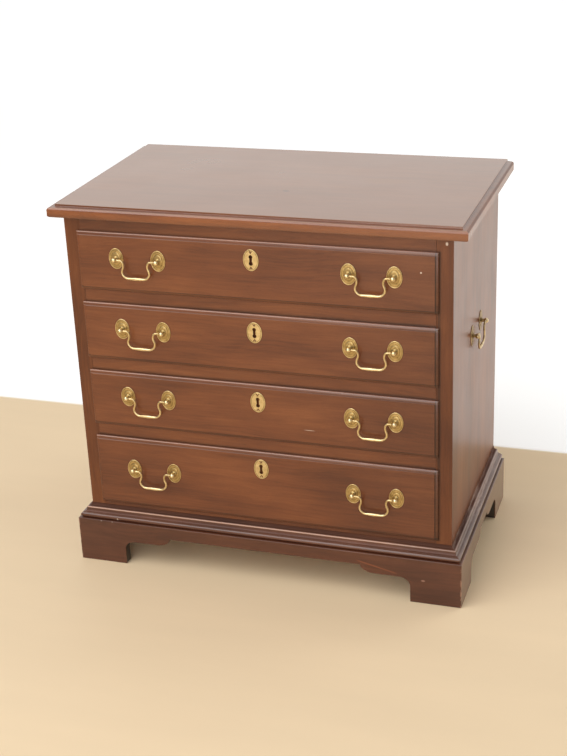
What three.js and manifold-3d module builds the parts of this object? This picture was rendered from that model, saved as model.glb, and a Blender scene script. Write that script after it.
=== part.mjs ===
// A bachelor's chest: a small chest of four drawers on a bracket base, with brass swan-neck handles.
// All lengths are in millimetres. X runs to the right as the chest is seen from the front, Y runs
// to the back and Z up. The origin is on the floor, under the middle of the chest.

import * as THREE from "three";
import { mergeVertices } from "three/addons/utils/BufferGeometryUtils.js";
import Module from "manifold-3d";

// Gaps and overruns
const FIT_GAP = 0.3; // between pieces that are glued or rest on each other
const RUN_GAP = 0.4; // between a drawer and the runners under it
const SIDE_GAP = 1; // on each side of a drawer in its opening
const OVERRUN = 10; // how far a cutting solid runs past what it cuts

// Top board
const TOP_WIDTH = 762;
const TOP_DEPTH = 445;
const TOP_THICKNESS = 22;
const TOP_OVER_SIDE = 26.25;
const TOP_OVER_FRONT = 12.5;
const TOP_OVER_BACK = 12.5;
const CHEST_HEIGHT = 716;

// Moulded edge of the top board: a quirk, an ovolo, a step and a rounded nose
const EDGE_QUIRK = 1.3;
const EDGE_OVOLO_WIDTH = 7.4;
const EDGE_OVOLO_DROP = 5.2;
const EDGE_STEP_WIDTH = 1.2;
const EDGE_STEP_DROP = 1;
const EDGE_NOSE_WIDTH = 3.4;
const EDGE_NOSE_DROP = 4;
const EDGE_EASE = 1.6;

// Case
const SIDE_THICKNESS = 19;
const STILE_WIDTH = 24.25; // of stiles and rails alike, what the drawers leave bare
const STILE_THICKNESS = 20;
const TOP_RAIL_HEIGHT = 24;
const RAIL_HEIGHT = 24.8;
const BOTTOM_RAIL_HEIGHT = 8;
const RAIL_DEPTH = 60;
const RUNNER_WIDTH = 45;
const DUST_PANEL = 8;
const GUIDE_HEIGHT = 12;
const BACK_THICKNESS = 7;
const BACK_REBATE = 9;

// Bracket base
const BASE_HEIGHT = 115.5;
const BASE_PROUD = 22.7; // how far the base boards stand out from the case
const BASE_BOARD = 20;
const BASE_EASE = 4.4;
const CLEAT_WIDTH = 24;
const CLEAT_HEIGHT = 22;
const FOOT_WIDTH = 95;
const FOOT_STRAIGHT = 32;
const FOOT_ROUND = 20;
const LEDGE_HEIGHT = 49.5;
const LEDGE_LENGTH = 46;
const BRACKET_ROUND = 28;
const ARCH_HEIGHT = 65;
const SIDE_ARCH_WIDTH = 64.7; // of the straight top of the arch in a side of the base

// Moulding round the top of the base: a bead, a fillet, a cove and a nose
const MOULDING_HEIGHT = 21;
const BEAD_WIDTH = 7.5;
const BEAD_DROP = 6;
const FILLET_WIDTH = 1.2;
const FILLET_DROP = 1.5;
const COVE_WIDTH = 4.6;
const COVE_DROP = 8;
const NOSE_STEP = 0.8;
const NOSE_WIDTH = 3.3;
const NOSE_DROP = 3.2;

// Drawers: lipped fronts with a thumbnail edge, on boxes with grooved-in bottoms
const DRAWER_HEIGHT_SHARES = [7, 7, 7, 9];
const LIP_COVER = 5; // how far the lip laps over the frame all round
const LIP_PROUD = 7.2;
const LIP_EDGE = 3.4;
const LIP_OVOLO_WIDTH = 6.2;
const LIP_FILLET = 1.2;
const FRONT_THICKNESS = 22;
const FRONT_LAP = 9; // how far the drawer sides lap into the ends of the front
const BOX_THICKNESS = 12;
const BOX_DROP = 8; // how much lower the box is than its opening
const BOX_REAR_SPACE = 12;
const BOTTOM_THICKNESS = 5;
const BOTTOM_RAISE = 8;
const GROOVE_DEPTH = 5;

// Handles: two oval plates with posts, and a swan-neck bail between their balls
const HANDLE_PLACE_SHARE = 0.65; // of half the drawer's width, from the middle
const HANDLE_RISE = 8; // of the posts above the middle of the drawer front
const SIDE_HANDLE_DRAWER = 1; // index of the drawer that a side handle is level with
const SIDE_HANDLE_CLEARANCE = 9.9; // from that drawer's guide up to the nuts inside the case
const POST_SPACING = 80.4;
const PLATE_WIDTH = 28;
const PLATE_HEIGHT = 39;
const PLATE_EDGE = 1;
const PLATE_DOME = 1.2;
const PLATE_DOME_SHARE = 0.45;
const PLATE_RIM_SHARE = 0.9;
const PIVOT_REACH = 10.5; // from the wood to the axis that the bail turns on
const BALL_RADIUS = 4;
const COLLAR_RADIUS = 4.4;
const COLLAR_HEIGHT = 1.6;
const POST_NECK_RADIUS = 2.7;
const STEM_RADIUS = 2.4;
const NUT_RADIUS = 5;
const NUT_HEIGHT = 3.5;
const PIN_RADIUS = 1.3;
const PIN_INSET = 1; // from the middle of the ball to the end of the bail's pin
const KNUCKLE_RADIUS = 2.1;
const KNUCKLE_LENGTH = 4;
const KNUCKLE_GAP = 0.5; // between the knuckle and the ball, along the pin
const ROD_RADIUS = 1.45;
const GRIP_RADIUS = 2.5;
const GRIP_LENGTH = 34;
const BEND_RUN = 5.2; // along the pin's line, from the bend to the neck
const NECK_HALF = 23.5;
const NECK_DROP = 8.5;
const FLARE_HALF = 28;
const FLARE_DROP = 22;
const CORNER_RUN = 13; // along the grip, from its straight part to the flare
const BAIL_DROP = 33.3;

// Escutcheons: oval plates with a keyhole
const ESCUTCHEON_WIDTH = 28.5;
const ESCUTCHEON_HEIGHT = 39.5;
const ESCUTCHEON_THICKNESS = 1.2;
const ESCUTCHEON_BEVEL = 0.8;
const ESCUTCHEON_DROP = 33.4; // from the top of the drawer front to the plate's middle
const KEYHOLE_RADIUS = 3.4;
const KEYHOLE_SLOT = 4.2;
const KEYHOLE_LENGTH = 17;

// How finely round shapes are divided
const PROFILE_STEPS = 4;
const OUTLINE_STEPS = 6;
const PLATE_SIDES = 16;
const POST_SIDES = 8;
const HOLE_SIDES = 12;
const NUT_SIDES = 6;
const ROD_SIDES = 8;
const BALL_STEPS = 4;
const BAIL_STEPS = 22;
const QUARTER_ROUND_SHARE = 0.5523; // handle length of a Bezier curve that draws a quarter circle

// Places that follow from the sizes
const FRONT_REACH = Math.max(BASE_PROUD, TOP_OVER_FRONT);
const CASE_WIDTH = TOP_WIDTH - 2 * TOP_OVER_SIDE;
const CASE_DEPTH = TOP_DEPTH - TOP_OVER_FRONT - TOP_OVER_BACK;
const CASE_HALF = CASE_WIDTH / 2;
const CASE_FRONT = FRONT_REACH - (FRONT_REACH + CASE_DEPTH + TOP_OVER_BACK) / 2;
const CASE_BACK = CASE_FRONT + CASE_DEPTH;
const CASE_TOP = CHEST_HEIGHT - TOP_THICKNESS;
const INNER_HALF = CASE_HALF - SIDE_THICKNESS;
const OPENING_HALF = CASE_HALF - STILE_WIDTH - LIP_COVER;
const BEHIND_STILE = CASE_FRONT + STILE_THICKNESS + FIT_GAP;
const BACK_PANEL_FRONT = CASE_BACK - BACK_THICKNESS;
const DIVIDER_HEIGHT = RAIL_HEIGHT + 2 * LIP_COVER;
const CASE_FOOT = BASE_HEIGHT + BOTTOM_RAIL_HEIGHT + LIP_COVER - DIVIDER_HEIGHT;
const BASE_HALF = CASE_HALF + BASE_PROUD;
const BASE_FRONT = CASE_FRONT - BASE_PROUD;
const BASE_INNER_HALF = BASE_HALF - BASE_BOARD;
const BOARD_TOP = BASE_HEIGHT - MOULDING_HEIGHT - FIT_GAP;
const DRAWER_FACE = CASE_FRONT - LIP_PROUD;
const FRONT_BACK = DRAWER_FACE + FRONT_THICKNESS;
const LIP_HALF = OPENING_HALF + LIP_COVER;
const BOX_HALF = OPENING_HALF - SIDE_GAP;
const BOX_REAR = BACK_PANEL_FRONT - BOX_REAR_SPACE;

// Where each drawer front lies, from the top drawer down
const DRAWERS = [];
{
  const stack = CASE_TOP - TOP_RAIL_HEIGHT - BASE_HEIGHT - BOTTOM_RAIL_HEIGHT;
  const fronts = stack - (DRAWER_HEIGHT_SHARES.length - 1) * RAIL_HEIGHT;
  const shares = DRAWER_HEIGHT_SHARES.reduce((sum, share) => sum + share);
  let top = CASE_TOP - TOP_RAIL_HEIGHT;
  for (const share of DRAWER_HEIGHT_SHARES) {
    const bottom = top - (fronts * share) / shares;
    DRAWERS.push({ top, bottom });
    top = bottom - RAIL_HEIGHT;
  }
}

const SIDE_HANDLE_GUIDE_TOP = DRAWERS[SIDE_HANDLE_DRAWER].bottom + LIP_COVER + GUIDE_HEIGHT;
const SIDE_HANDLE_HEIGHT = SIDE_HANDLE_GUIDE_TOP + SIDE_HANDLE_CLEARANCE + NUT_RADIUS;

// Finishes
const FINISHES = {
  front: new THREE.MeshStandardMaterial({ color: 0x7a4632, roughness: 0.35, metalness: 0 }),
  case: new THREE.MeshStandardMaterial({ color: 0x6e3f2e, roughness: 0.35, metalness: 0 }),
  base: new THREE.MeshStandardMaterial({ color: 0x663a2b, roughness: 0.35, metalness: 0 }),
  inner: new THREE.MeshStandardMaterial({ color: 0xb08a5e, roughness: 0.7, metalness: 0 }),
  brass: new THREE.MeshStandardMaterial({ color: 0xbe9a56, roughness: 0.3, metalness: 1 }),
};

const chest = new THREE.Group();

// Solids for joining and cutting

const wasm = await Module();
wasm.setup();

function solidOf(geometry) {
  const bare = geometry.clone();
  bare.deleteAttribute("normal");
  bare.deleteAttribute("uv");
  const merged = mergeVertices(bare);
  const vertProperties = new Float32Array(merged.attributes.position.array);
  const triVerts = new Uint32Array(merged.index.array);
  return new wasm.Manifold(new wasm.Mesh({ numProp: 3, vertProperties, triVerts }));
}

function geometryOf(solid) {
  const { vertProperties, triVerts } = solid.getMesh();
  const geometry = new THREE.BufferGeometry();
  geometry.setAttribute("position", new THREE.BufferAttribute(new Float32Array(vertProperties), 3));
  geometry.setIndex(new THREE.BufferAttribute(new Uint32Array(triVerts), 1));
  geometry.computeVertexNormals();
  return geometry;
}

function joined(...solids) {
  return solids.reduce((sum, solid) => sum.add(solid));
}

function cut(solid, ...cutters) {
  return cutters.reduce((rest, cutter) => rest.subtract(cutter), solid);
}

// A rectangular board between two corners
function board([x0, y0, z0], [x1, y1, z1]) {
  const geometry = new THREE.BoxGeometry(x1 - x0, y1 - y0, z1 - z0);
  geometry.translate((x0 + x1) / 2, (y0 + y1) / 2, (z0 + z1) / 2);
  return solidOf(geometry);
}

// A skin through a row of rings, closed by a flat cap at each end. Each ring lists its points
// anticlockwise, as seen from the end that the row leads to.
function loft(rings) {
  const count = rings[0].length;
  const index = [];
  for (let i = 0; i + 1 < rings.length; i++) {
    for (let j = 0; j < count; j++) {
      const a = i * count + j;
      const b = i * count + ((j + 1) % count);
      index.push(a, b, b + count, a, b + count, a + count);
    }
  }
  const last = (rings.length - 1) * count;
  for (let j = 1; j + 1 < count; j++) {
    index.push(0, j + 1, j, last, last + j, last + j + 1);
  }
  const geometry = new THREE.BufferGeometry();
  geometry.setFromPoints(rings.flat());
  geometry.setIndex(index);
  geometry.computeVertexNormals();
  return geometry;
}

function rectangle(x0, x1, y0, y1, z) {
  return [[x0, y0], [x1, y0], [x1, y1], [x0, y1]].map(([x, y]) => new THREE.Vector3(x, y, z));
}

function ellipse(width, height, z) {
  return Array.from({ length: PLATE_SIDES }, (_, i) => {
    const angle = (i * 2 * Math.PI) / PLATE_SIDES;
    return new THREE.Vector3((width / 2) * Math.cos(angle), (height / 2) * Math.sin(angle), z);
  });
}

// Points of a quarter of an ellipse. A round one bulges: it leaves along the first coordinate.
// A hollow one leaves along the second.
function quarter([x0, y0], [x1, y1], hollow = false) {
  return Array.from({ length: PROFILE_STEPS + 1 }, (_, i) => {
    const turn = (i * Math.PI) / 2 / PROFILE_STEPS;
    const [across, along] = hollow
      ? [1 - Math.cos(turn), Math.sin(turn)]
      : [Math.sin(turn), 1 - Math.cos(turn)];
    return [x0 + (x1 - x0) * across, y0 + (y1 - y0) * along];
  });
}

// A flat outline in X and Z, run along Y from near to far
function prismAlongY(shape, near, far) {
  const geometry = new THREE.ExtrudeGeometry(shape, {
    depth: far - near,
    bevelEnabled: false,
    curveSegments: OUTLINE_STEPS,
  });
  geometry.rotateX(Math.PI / 2);
  geometry.translate(0, far, 0);
  return geometry;
}

// A flat outline in X and Y, run up along Z
function prismAlongZ(points, low, high) {
  const shape = new THREE.Shape(points.map(([x, y]) => new THREE.Vector2(x, y)));
  const geometry = new THREE.ExtrudeGeometry(shape, { depth: high - low, bevelEnabled: false });
  geometry.translate(0, 0, low);
  return solidOf(geometry);
}

// A round bar along Y or X
function barAlongY(radius, near, far, x, z, sides) {
  const geometry = new THREE.CylinderGeometry(radius, radius, far - near, sides);
  geometry.translate(x, (near + far) / 2, z);
  return solidOf(geometry);
}

function barAlongX(radius, left, right, y, z, sides) {
  const geometry = new THREE.CylinderGeometry(radius, radius, right - left, sides);
  geometry.rotateZ(Math.PI / 2);
  geometry.translate((left + right) / 2, y, z);
  return solidOf(geometry);
}

function addPiece(name, geometry, finish, parent = chest) {
  const mesh = new THREE.Mesh(geometry, FINISHES[finish].clone());
  mesh.name = name;
  parent.add(mesh);
  return mesh;
}

// Top board, moulded on its front and ends and square at the back

function makeTop() {
  const inset = EDGE_OVOLO_WIDTH + EDGE_STEP_WIDTH + EDGE_NOSE_WIDTH;
  const ovoloEnd = [inset - EDGE_OVOLO_WIDTH, EDGE_QUIRK + EDGE_OVOLO_DROP];
  const stepDrop = ovoloEnd[1] + EDGE_STEP_DROP;
  const profile = [
    [inset, 0],
    ...quarter([inset, EDGE_QUIRK], ovoloEnd),
    [ovoloEnd[0], stepDrop],
    ...quarter([EDGE_NOSE_WIDTH, stepDrop], [0, stepDrop + EDGE_NOSE_DROP]),
    [0, TOP_THICKNESS - EDGE_EASE],
    [EDGE_EASE, TOP_THICKNESS],
  ];
  const half = TOP_WIDTH / 2;
  const front = CASE_FRONT - TOP_OVER_FRONT;
  const back = CASE_BACK + TOP_OVER_BACK;
  const rings = profile.reverse().map(([inward, drop]) =>
    rectangle(inward - half, half - inward, front + inward, back, CHEST_HEIGHT - drop)
  );
  addPiece("top_board", loft(rings), "case");
}

// Case: each side is one board with its stile and top kicker glued on

function sideHandleSpots() {
  const middle = (CASE_FRONT + CASE_BACK) / 2;
  return [middle - POST_SPACING / 2, middle + POST_SPACING / 2];
}

function makeCaseSide(name, sign) {
  const top = CASE_TOP - FIT_GAP;
  const spread = (inner, outer) => (sign > 0 ? [inner, outer] : [-outer, -inner]);
  const [x0, x1] = spread(INNER_HALF, CASE_HALF);
  const [s0, s1] = spread(OPENING_HALF, CASE_HALF);
  const [r0, r1] = spread(INNER_HALF - FIT_GAP, CASE_HALF - SIDE_THICKNESS + BACK_REBATE);
  const openingTop = DRAWERS[0].top - LIP_COVER;
  const kickerBack = BACK_PANEL_FRONT - FIT_GAP;
  const solid = joined(
    board([x0, CASE_FRONT, CASE_FOOT], [x1, CASE_BACK, top]),
    board([s0, CASE_FRONT, CASE_FOOT], [s1, CASE_FRONT + STILE_THICKNESS, top]),
    board([s0, CASE_FRONT + RAIL_DEPTH, openingTop], [s1, kickerBack, top])
  );
  const holes = sideHandleSpots().map((y) =>
    barAlongX(STEM_RADIUS + FIT_GAP, x0 - OVERRUN, x1 + OVERRUN, y, SIDE_HANDLE_HEIGHT, HOLE_SIDES)
  );
  const rebate = board(
    [r0, BACK_PANEL_FRONT - FIT_GAP, CASE_FOOT - OVERRUN],
    [r1, CASE_BACK + OVERRUN, CASE_TOP]
  );
  addPiece(name, geometryOf(cut(solid, rebate, ...holes)), "case");
}

function makeBack() {
  const half = INNER_HALF + BACK_REBATE - FIT_GAP;
  const solid = board([-half, BACK_PANEL_FRONT, CASE_FOOT], [half, CASE_BACK, CASE_TOP - FIT_GAP]);
  addPiece("back_panel", geometryOf(solid), "inner");
}

function makeTopRail() {
  const half = OPENING_HALF - FIT_GAP;
  const widerHalf = INNER_HALF - FIT_GAP;
  const bottom = DRAWERS[0].top - LIP_COVER;
  const top = CASE_TOP - FIT_GAP;
  const back = CASE_FRONT + RAIL_DEPTH - FIT_GAP;
  const solid = joined(
    board([-half, CASE_FRONT, bottom], [half, back, top]),
    board([-widerHalf, BEHIND_STILE, bottom], [widerHalf, back, top])
  );
  addPiece("top_rail", geometryOf(solid), "case");
}

// A divider under each drawer: a rail that shows in front, a runner at each side and at the back,
// a thin dust panel between them, and a guide beside each side of the drawer

function makeDivider(name, drawer) {
  const top = drawer.bottom + LIP_COVER;
  const bottom = top - DIVIDER_HEIGHT;
  const half = OPENING_HALF - FIT_GAP;
  const widerHalf = INNER_HALF - FIT_GAP;
  const back = BACK_PANEL_FRONT - FIT_GAP;
  const frame = joined(
    board([-half, CASE_FRONT, bottom], [half, BEHIND_STILE + RAIL_DEPTH, top]),
    board([-widerHalf, BEHIND_STILE, bottom], [widerHalf, back, top]),
    board([OPENING_HALF, BEHIND_STILE, bottom], [widerHalf, back, top + GUIDE_HEIGHT]),
    board([-widerHalf, BEHIND_STILE, bottom], [-OPENING_HALF, back, top + GUIDE_HEIGHT])
  );
  const pocket = board(
    [RUNNER_WIDTH - widerHalf, CASE_FRONT + RAIL_DEPTH, bottom - OVERRUN],
    [widerHalf - RUNNER_WIDTH, back - RUNNER_WIDTH, top - DUST_PANEL]
  );
  addPiece(name, geometryOf(cut(frame, pocket)), "case");
}

// Bracket base: mitred boards with shaped feet, a plain back board, and a moulding on top

// The space under the base between two corners: feet, rounded ledges and a straight arch
function archShape(from, to, ledgeLength) {
  const shape = new THREE.Shape();
  const ends = [[from, 1], [to, -1]];
  ends.forEach(([corner, way], end) => {
    const foot = corner + way * FOOT_WIDTH;
    const ledge = foot + way * FOOT_ROUND;
    const bracket = ledge + way * ledgeLength;
    const arch = bracket + way * BRACKET_ROUND;
    const reach = BRACKET_ROUND * QUARTER_ROUND_SHARE;
    const rise = (ARCH_HEIGHT - LEDGE_HEIGHT) * QUARTER_ROUND_SHARE;
    if (end === 0) {
      shape.moveTo(foot, -OVERRUN);
      shape.lineTo(foot, FOOT_STRAIGHT);
      shape.quadraticCurveTo(foot, LEDGE_HEIGHT, ledge, LEDGE_HEIGHT);
      shape.lineTo(bracket, LEDGE_HEIGHT);
      shape.bezierCurveTo(
        bracket + reach, LEDGE_HEIGHT, arch, ARCH_HEIGHT - rise, arch, ARCH_HEIGHT
      );
    } else {
      shape.lineTo(arch, ARCH_HEIGHT);
      shape.bezierCurveTo(
        arch, ARCH_HEIGHT - rise, bracket - reach, LEDGE_HEIGHT, bracket, LEDGE_HEIGHT
      );
      shape.lineTo(ledge, LEDGE_HEIGHT);
      shape.quadraticCurveTo(foot, LEDGE_HEIGHT, foot, FOOT_STRAIGHT);
      shape.lineTo(foot, -OVERRUN);
    }
  });
  return shape;
}

function archFrontToBack() {
  const shape = archShape(-BASE_HALF, BASE_HALF, LEDGE_LENGTH);
  return solidOf(prismAlongY(shape, BASE_FRONT - OVERRUN, CASE_BACK + OVERRUN));
}

// In the sides the ledges take what the feet, the rounds and the straight top leave
function archSideToSide() {
  const reach = BASE_HALF + OVERRUN;
  const halfLength = (CASE_BACK - BASE_FRONT - SIDE_ARCH_WIDTH) / 2;
  const ledgeLength = halfLength - FOOT_WIDTH - FOOT_ROUND - BRACKET_ROUND;
  const shape = archShape(BASE_FRONT, CASE_BACK, ledgeLength);
  const geometry = prismAlongY(shape, -reach, reach);
  geometry.rotateZ(Math.PI / 2);
  return solidOf(geometry);
}

// A block as wide as the case plus an outward profile of [out, height] points, square at the back
function profiledBlock(profile) {
  return solidOf(
    loft(
      profile.map(([out, z]) =>
        rectangle(-CASE_HALF - out, CASE_HALF + out, CASE_FRONT - out, CASE_BACK, z)
      )
    )
  );
}

function makeBase() {
  const eased = quarter([BASE_PROUD - BASE_EASE, BOARD_TOP], [BASE_PROUD, BOARD_TOP - BASE_EASE]);
  const block = profiledBlock([[BASE_PROUD, 0], ...eased.reverse()]);
  const inside = board(
    [-BASE_INNER_HALF, BASE_FRONT + BASE_BOARD, -OVERRUN],
    [BASE_INNER_HALF, CASE_BACK + OVERRUN, BOARD_TOP + OVERRUN]
  );
  const across = archFrontToBack();
  const sideways = archSideToSide();
  const boards = cut(block, inside, across, sideways);
  const far = BASE_HALF + OVERRUN;
  const low = -OVERRUN;
  const high = BOARD_TOP + OVERRUN;
  const apex = BASE_FRONT + BASE_HALF;
  const frontMask = [
    [0, apex - FIT_GAP],
    [-far, BASE_FRONT - OVERRUN - FIT_GAP],
    [far, BASE_FRONT - OVERRUN - FIT_GAP],
  ];
  const front = boards.intersect(prismAlongZ(frontMask, low, high));
  addPiece("base_front", geometryOf(front), "base");
  for (const [name, sign] of [["base_left", -1], ["base_right", 1]]) {
    const sideMask = [
      [0, apex],
      [sign * far, BASE_FRONT - OVERRUN],
      [sign * far, CASE_BACK + OVERRUN],
      [0, CASE_BACK + OVERRUN],
    ];
    const ends = [sign * (BASE_INNER_HALF - CLEAT_WIDTH), sign * (BASE_HALF - BASE_BOARD / 2)];
    const cleatTop = CASE_FOOT - FIT_GAP;
    const cleat = board(
      [Math.min(...ends), BASE_FRONT + BASE_BOARD + FIT_GAP, cleatTop - CLEAT_HEIGHT],
      [Math.max(...ends), CASE_BACK - BASE_BOARD - FIT_GAP, cleatTop]
    );
    const side = joined(boards.intersect(prismAlongZ(sideMask, low, high)), cleat);
    addPiece(name, geometryOf(side), "base");
  }
  const backHalf = BASE_INNER_HALF - FIT_GAP;
  const back = board(
    [-backHalf, CASE_BACK - BASE_BOARD, 0],
    [backHalf, CASE_BACK, CASE_FOOT - FIT_GAP]
  );
  addPiece("base_back", geometryOf(cut(back, across)), "base");
}

function makeMoulding() {
  const filletOut = BEAD_WIDTH + FILLET_WIDTH;
  const filletDrop = BEAD_DROP + FILLET_DROP;
  const coveEnd = [filletOut + COVE_WIDTH, filletDrop + COVE_DROP];
  const noseStart = [coveEnd[0] + NOSE_STEP, coveEnd[1]];
  const noseEnd = [noseStart[0] + NOSE_WIDTH, noseStart[1] + NOSE_DROP];
  const profile = [
    ...quarter([0, 0], [BEAD_WIDTH, BEAD_DROP]),
    [BEAD_WIDTH, filletDrop],
    ...quarter([filletOut, filletDrop], coveEnd, true),
    ...quarter(noseStart, noseEnd),
    [noseEnd[0], MOULDING_HEIGHT],
  ];
  const block = profiledBlock(profile.reverse().map(([out, drop]) => [out, BASE_HEIGHT - drop]));
  const inside = board(
    [-CASE_HALF - FIT_GAP, CASE_FRONT - FIT_GAP, -OVERRUN],
    [CASE_HALF + FIT_GAP, CASE_BACK + OVERRUN, BASE_HEIGHT + OVERRUN]
  );
  addPiece("base_moulding", geometryOf(cut(block, inside)), "base");
}

// Drawers

function handleSpots() {
  const place = LIP_HALF * HANDLE_PLACE_SHARE;
  return [["left", -place], ["right", place]];
}

function handleHeight(drawer) {
  return (drawer.top + drawer.bottom) / 2 + HANDLE_RISE;
}

function boxLevels(drawer) {
  const low = drawer.bottom + LIP_COVER + RUN_GAP;
  const bottomLow = low + BOTTOM_RAISE;
  return { low, bottomLow, bottomHigh: bottomLow + BOTTOM_THICKNESS };
}

// The front board: a lipped face with a thumbnail edge, a body that enters the opening, laps cut
// for the sides, a groove for the bottom, and holes for the posts of the handles
function makeDrawerFront(name, drawer) {
  const filletProud = LIP_PROUD - LIP_FILLET;
  const profile = [
    [0, FIT_GAP],
    ...quarter([LIP_OVOLO_WIDTH, filletProud], [0, LIP_EDGE]).reverse(),
    [LIP_OVOLO_WIDTH, LIP_PROUD],
  ];
  const lip = loft(
    profile.map(([inward, proud]) =>
      rectangle(
        inward - LIP_HALF, LIP_HALF - inward, drawer.bottom + inward, drawer.top - inward, proud
      )
    )
  );
  lip.rotateX(Math.PI / 2);
  lip.translate(0, CASE_FRONT, 0);
  const bodyLow = drawer.bottom + LIP_COVER + RUN_GAP;
  const bodyHigh = drawer.top - LIP_COVER - RUN_GAP;
  const body = board(
    [-BOX_HALF, CASE_FRONT - FIT_GAP - LIP_EDGE / 2, bodyLow],
    [BOX_HALF, FRONT_BACK, bodyHigh]
  );
  const laps = [-1, 1].map((sign) => {
    const ends = [sign * (BOX_HALF - BOX_THICKNESS - FIT_GAP), sign * (BOX_HALF + OVERRUN)];
    return board(
      [Math.min(...ends), FRONT_BACK - FRONT_LAP, bodyLow - OVERRUN],
      [Math.max(...ends), FRONT_BACK + OVERRUN, bodyHigh + OVERRUN]
    );
  });
  const { bottomLow, bottomHigh } = boxLevels(drawer);
  const groove = board(
    [-BOX_HALF - OVERRUN, FRONT_BACK - GROOVE_DEPTH, bottomLow - FIT_GAP],
    [BOX_HALF + OVERRUN, FRONT_BACK + OVERRUN, bottomHigh + FIT_GAP]
  );
  const holes = handleSpots().flatMap(([, middle]) =>
    [-1, 1].map((side) =>
      barAlongY(
        STEM_RADIUS + FIT_GAP,
        DRAWER_FACE - OVERRUN,
        FRONT_BACK + OVERRUN,
        middle + (side * POST_SPACING) / 2,
        handleHeight(drawer),
        HOLE_SIDES
      )
    )
  );
  const solid = cut(joined(solidOf(lip), body), ...laps, groove, ...holes);
  addPiece(name, geometryOf(solid), "front");
}

function makeDrawerBox(name, drawer) {
  const { low, bottomLow, bottomHigh } = boxLevels(drawer);
  const high = drawer.top - LIP_COVER - BOX_DROP;
  const near = FRONT_BACK - FRONT_LAP + FIT_GAP;
  const inner = BOX_HALF - BOX_THICKNESS;
  const walls = joined(
    board([-BOX_HALF, near, low], [-inner, BOX_REAR, high]),
    board([inner, near, low], [BOX_HALF, BOX_REAR, high]),
    board([-BOX_HALF, BOX_REAR - BOX_THICKNESS, bottomHigh + FIT_GAP], [BOX_HALF, BOX_REAR, high])
  );
  const groove = board(
    [-inner - GROOVE_DEPTH, near - OVERRUN, bottomLow - FIT_GAP],
    [inner + GROOVE_DEPTH, BOX_REAR + OVERRUN, bottomHigh + FIT_GAP]
  );
  addPiece(name, geometryOf(cut(walls, groove)), "inner");
}

function makeDrawerBottom(name, drawer) {
  const { bottomLow, bottomHigh } = boxLevels(drawer);
  const half = BOX_HALF - BOX_THICKNESS + GROOVE_DEPTH - FIT_GAP;
  const near = FRONT_BACK - GROOVE_DEPTH + FIT_GAP;
  const solid = board([-half, near, bottomLow], [half, BOX_REAR, bottomHigh]);
  addPiece(name, geometryOf(solid), "inner");
}

function makeEscutcheon(name, drawer) {
  const field = [ESCUTCHEON_WIDTH - 2 * ESCUTCHEON_BEVEL, ESCUTCHEON_HEIGHT - 2 * ESCUTCHEON_BEVEL];
  const plate = loft([
    ellipse(ESCUTCHEON_WIDTH, ESCUTCHEON_HEIGHT, 0),
    ellipse(ESCUTCHEON_WIDTH, ESCUTCHEON_HEIGHT, ESCUTCHEON_THICKNESS - ESCUTCHEON_BEVEL),
    ellipse(...field, ESCUTCHEON_THICKNESS),
  ]);
  plate.rotateX(Math.PI / 2);
  const eye = (KEYHOLE_LENGTH - 2 * KEYHOLE_RADIUS) / 2;
  const reach = ESCUTCHEON_THICKNESS + OVERRUN;
  const solid = cut(
    solidOf(plate),
    barAlongY(KEYHOLE_RADIUS, -reach, reach, 0, eye, HOLE_SIDES),
    barAlongY(KEYHOLE_RADIUS, -reach, reach, 0, -eye, HOLE_SIDES),
    board([-KEYHOLE_SLOT / 2, -reach, -eye], [KEYHOLE_SLOT / 2, reach, eye])
  );
  const mesh = addPiece(name, geometryOf(solid), "brass");
  mesh.position.set(0, DRAWER_FACE - FIT_GAP, drawer.top - ESCUTCHEON_DROP);
}

// A handle is drawn with X along its bail's pins, Y up and Z out of the wood

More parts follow.
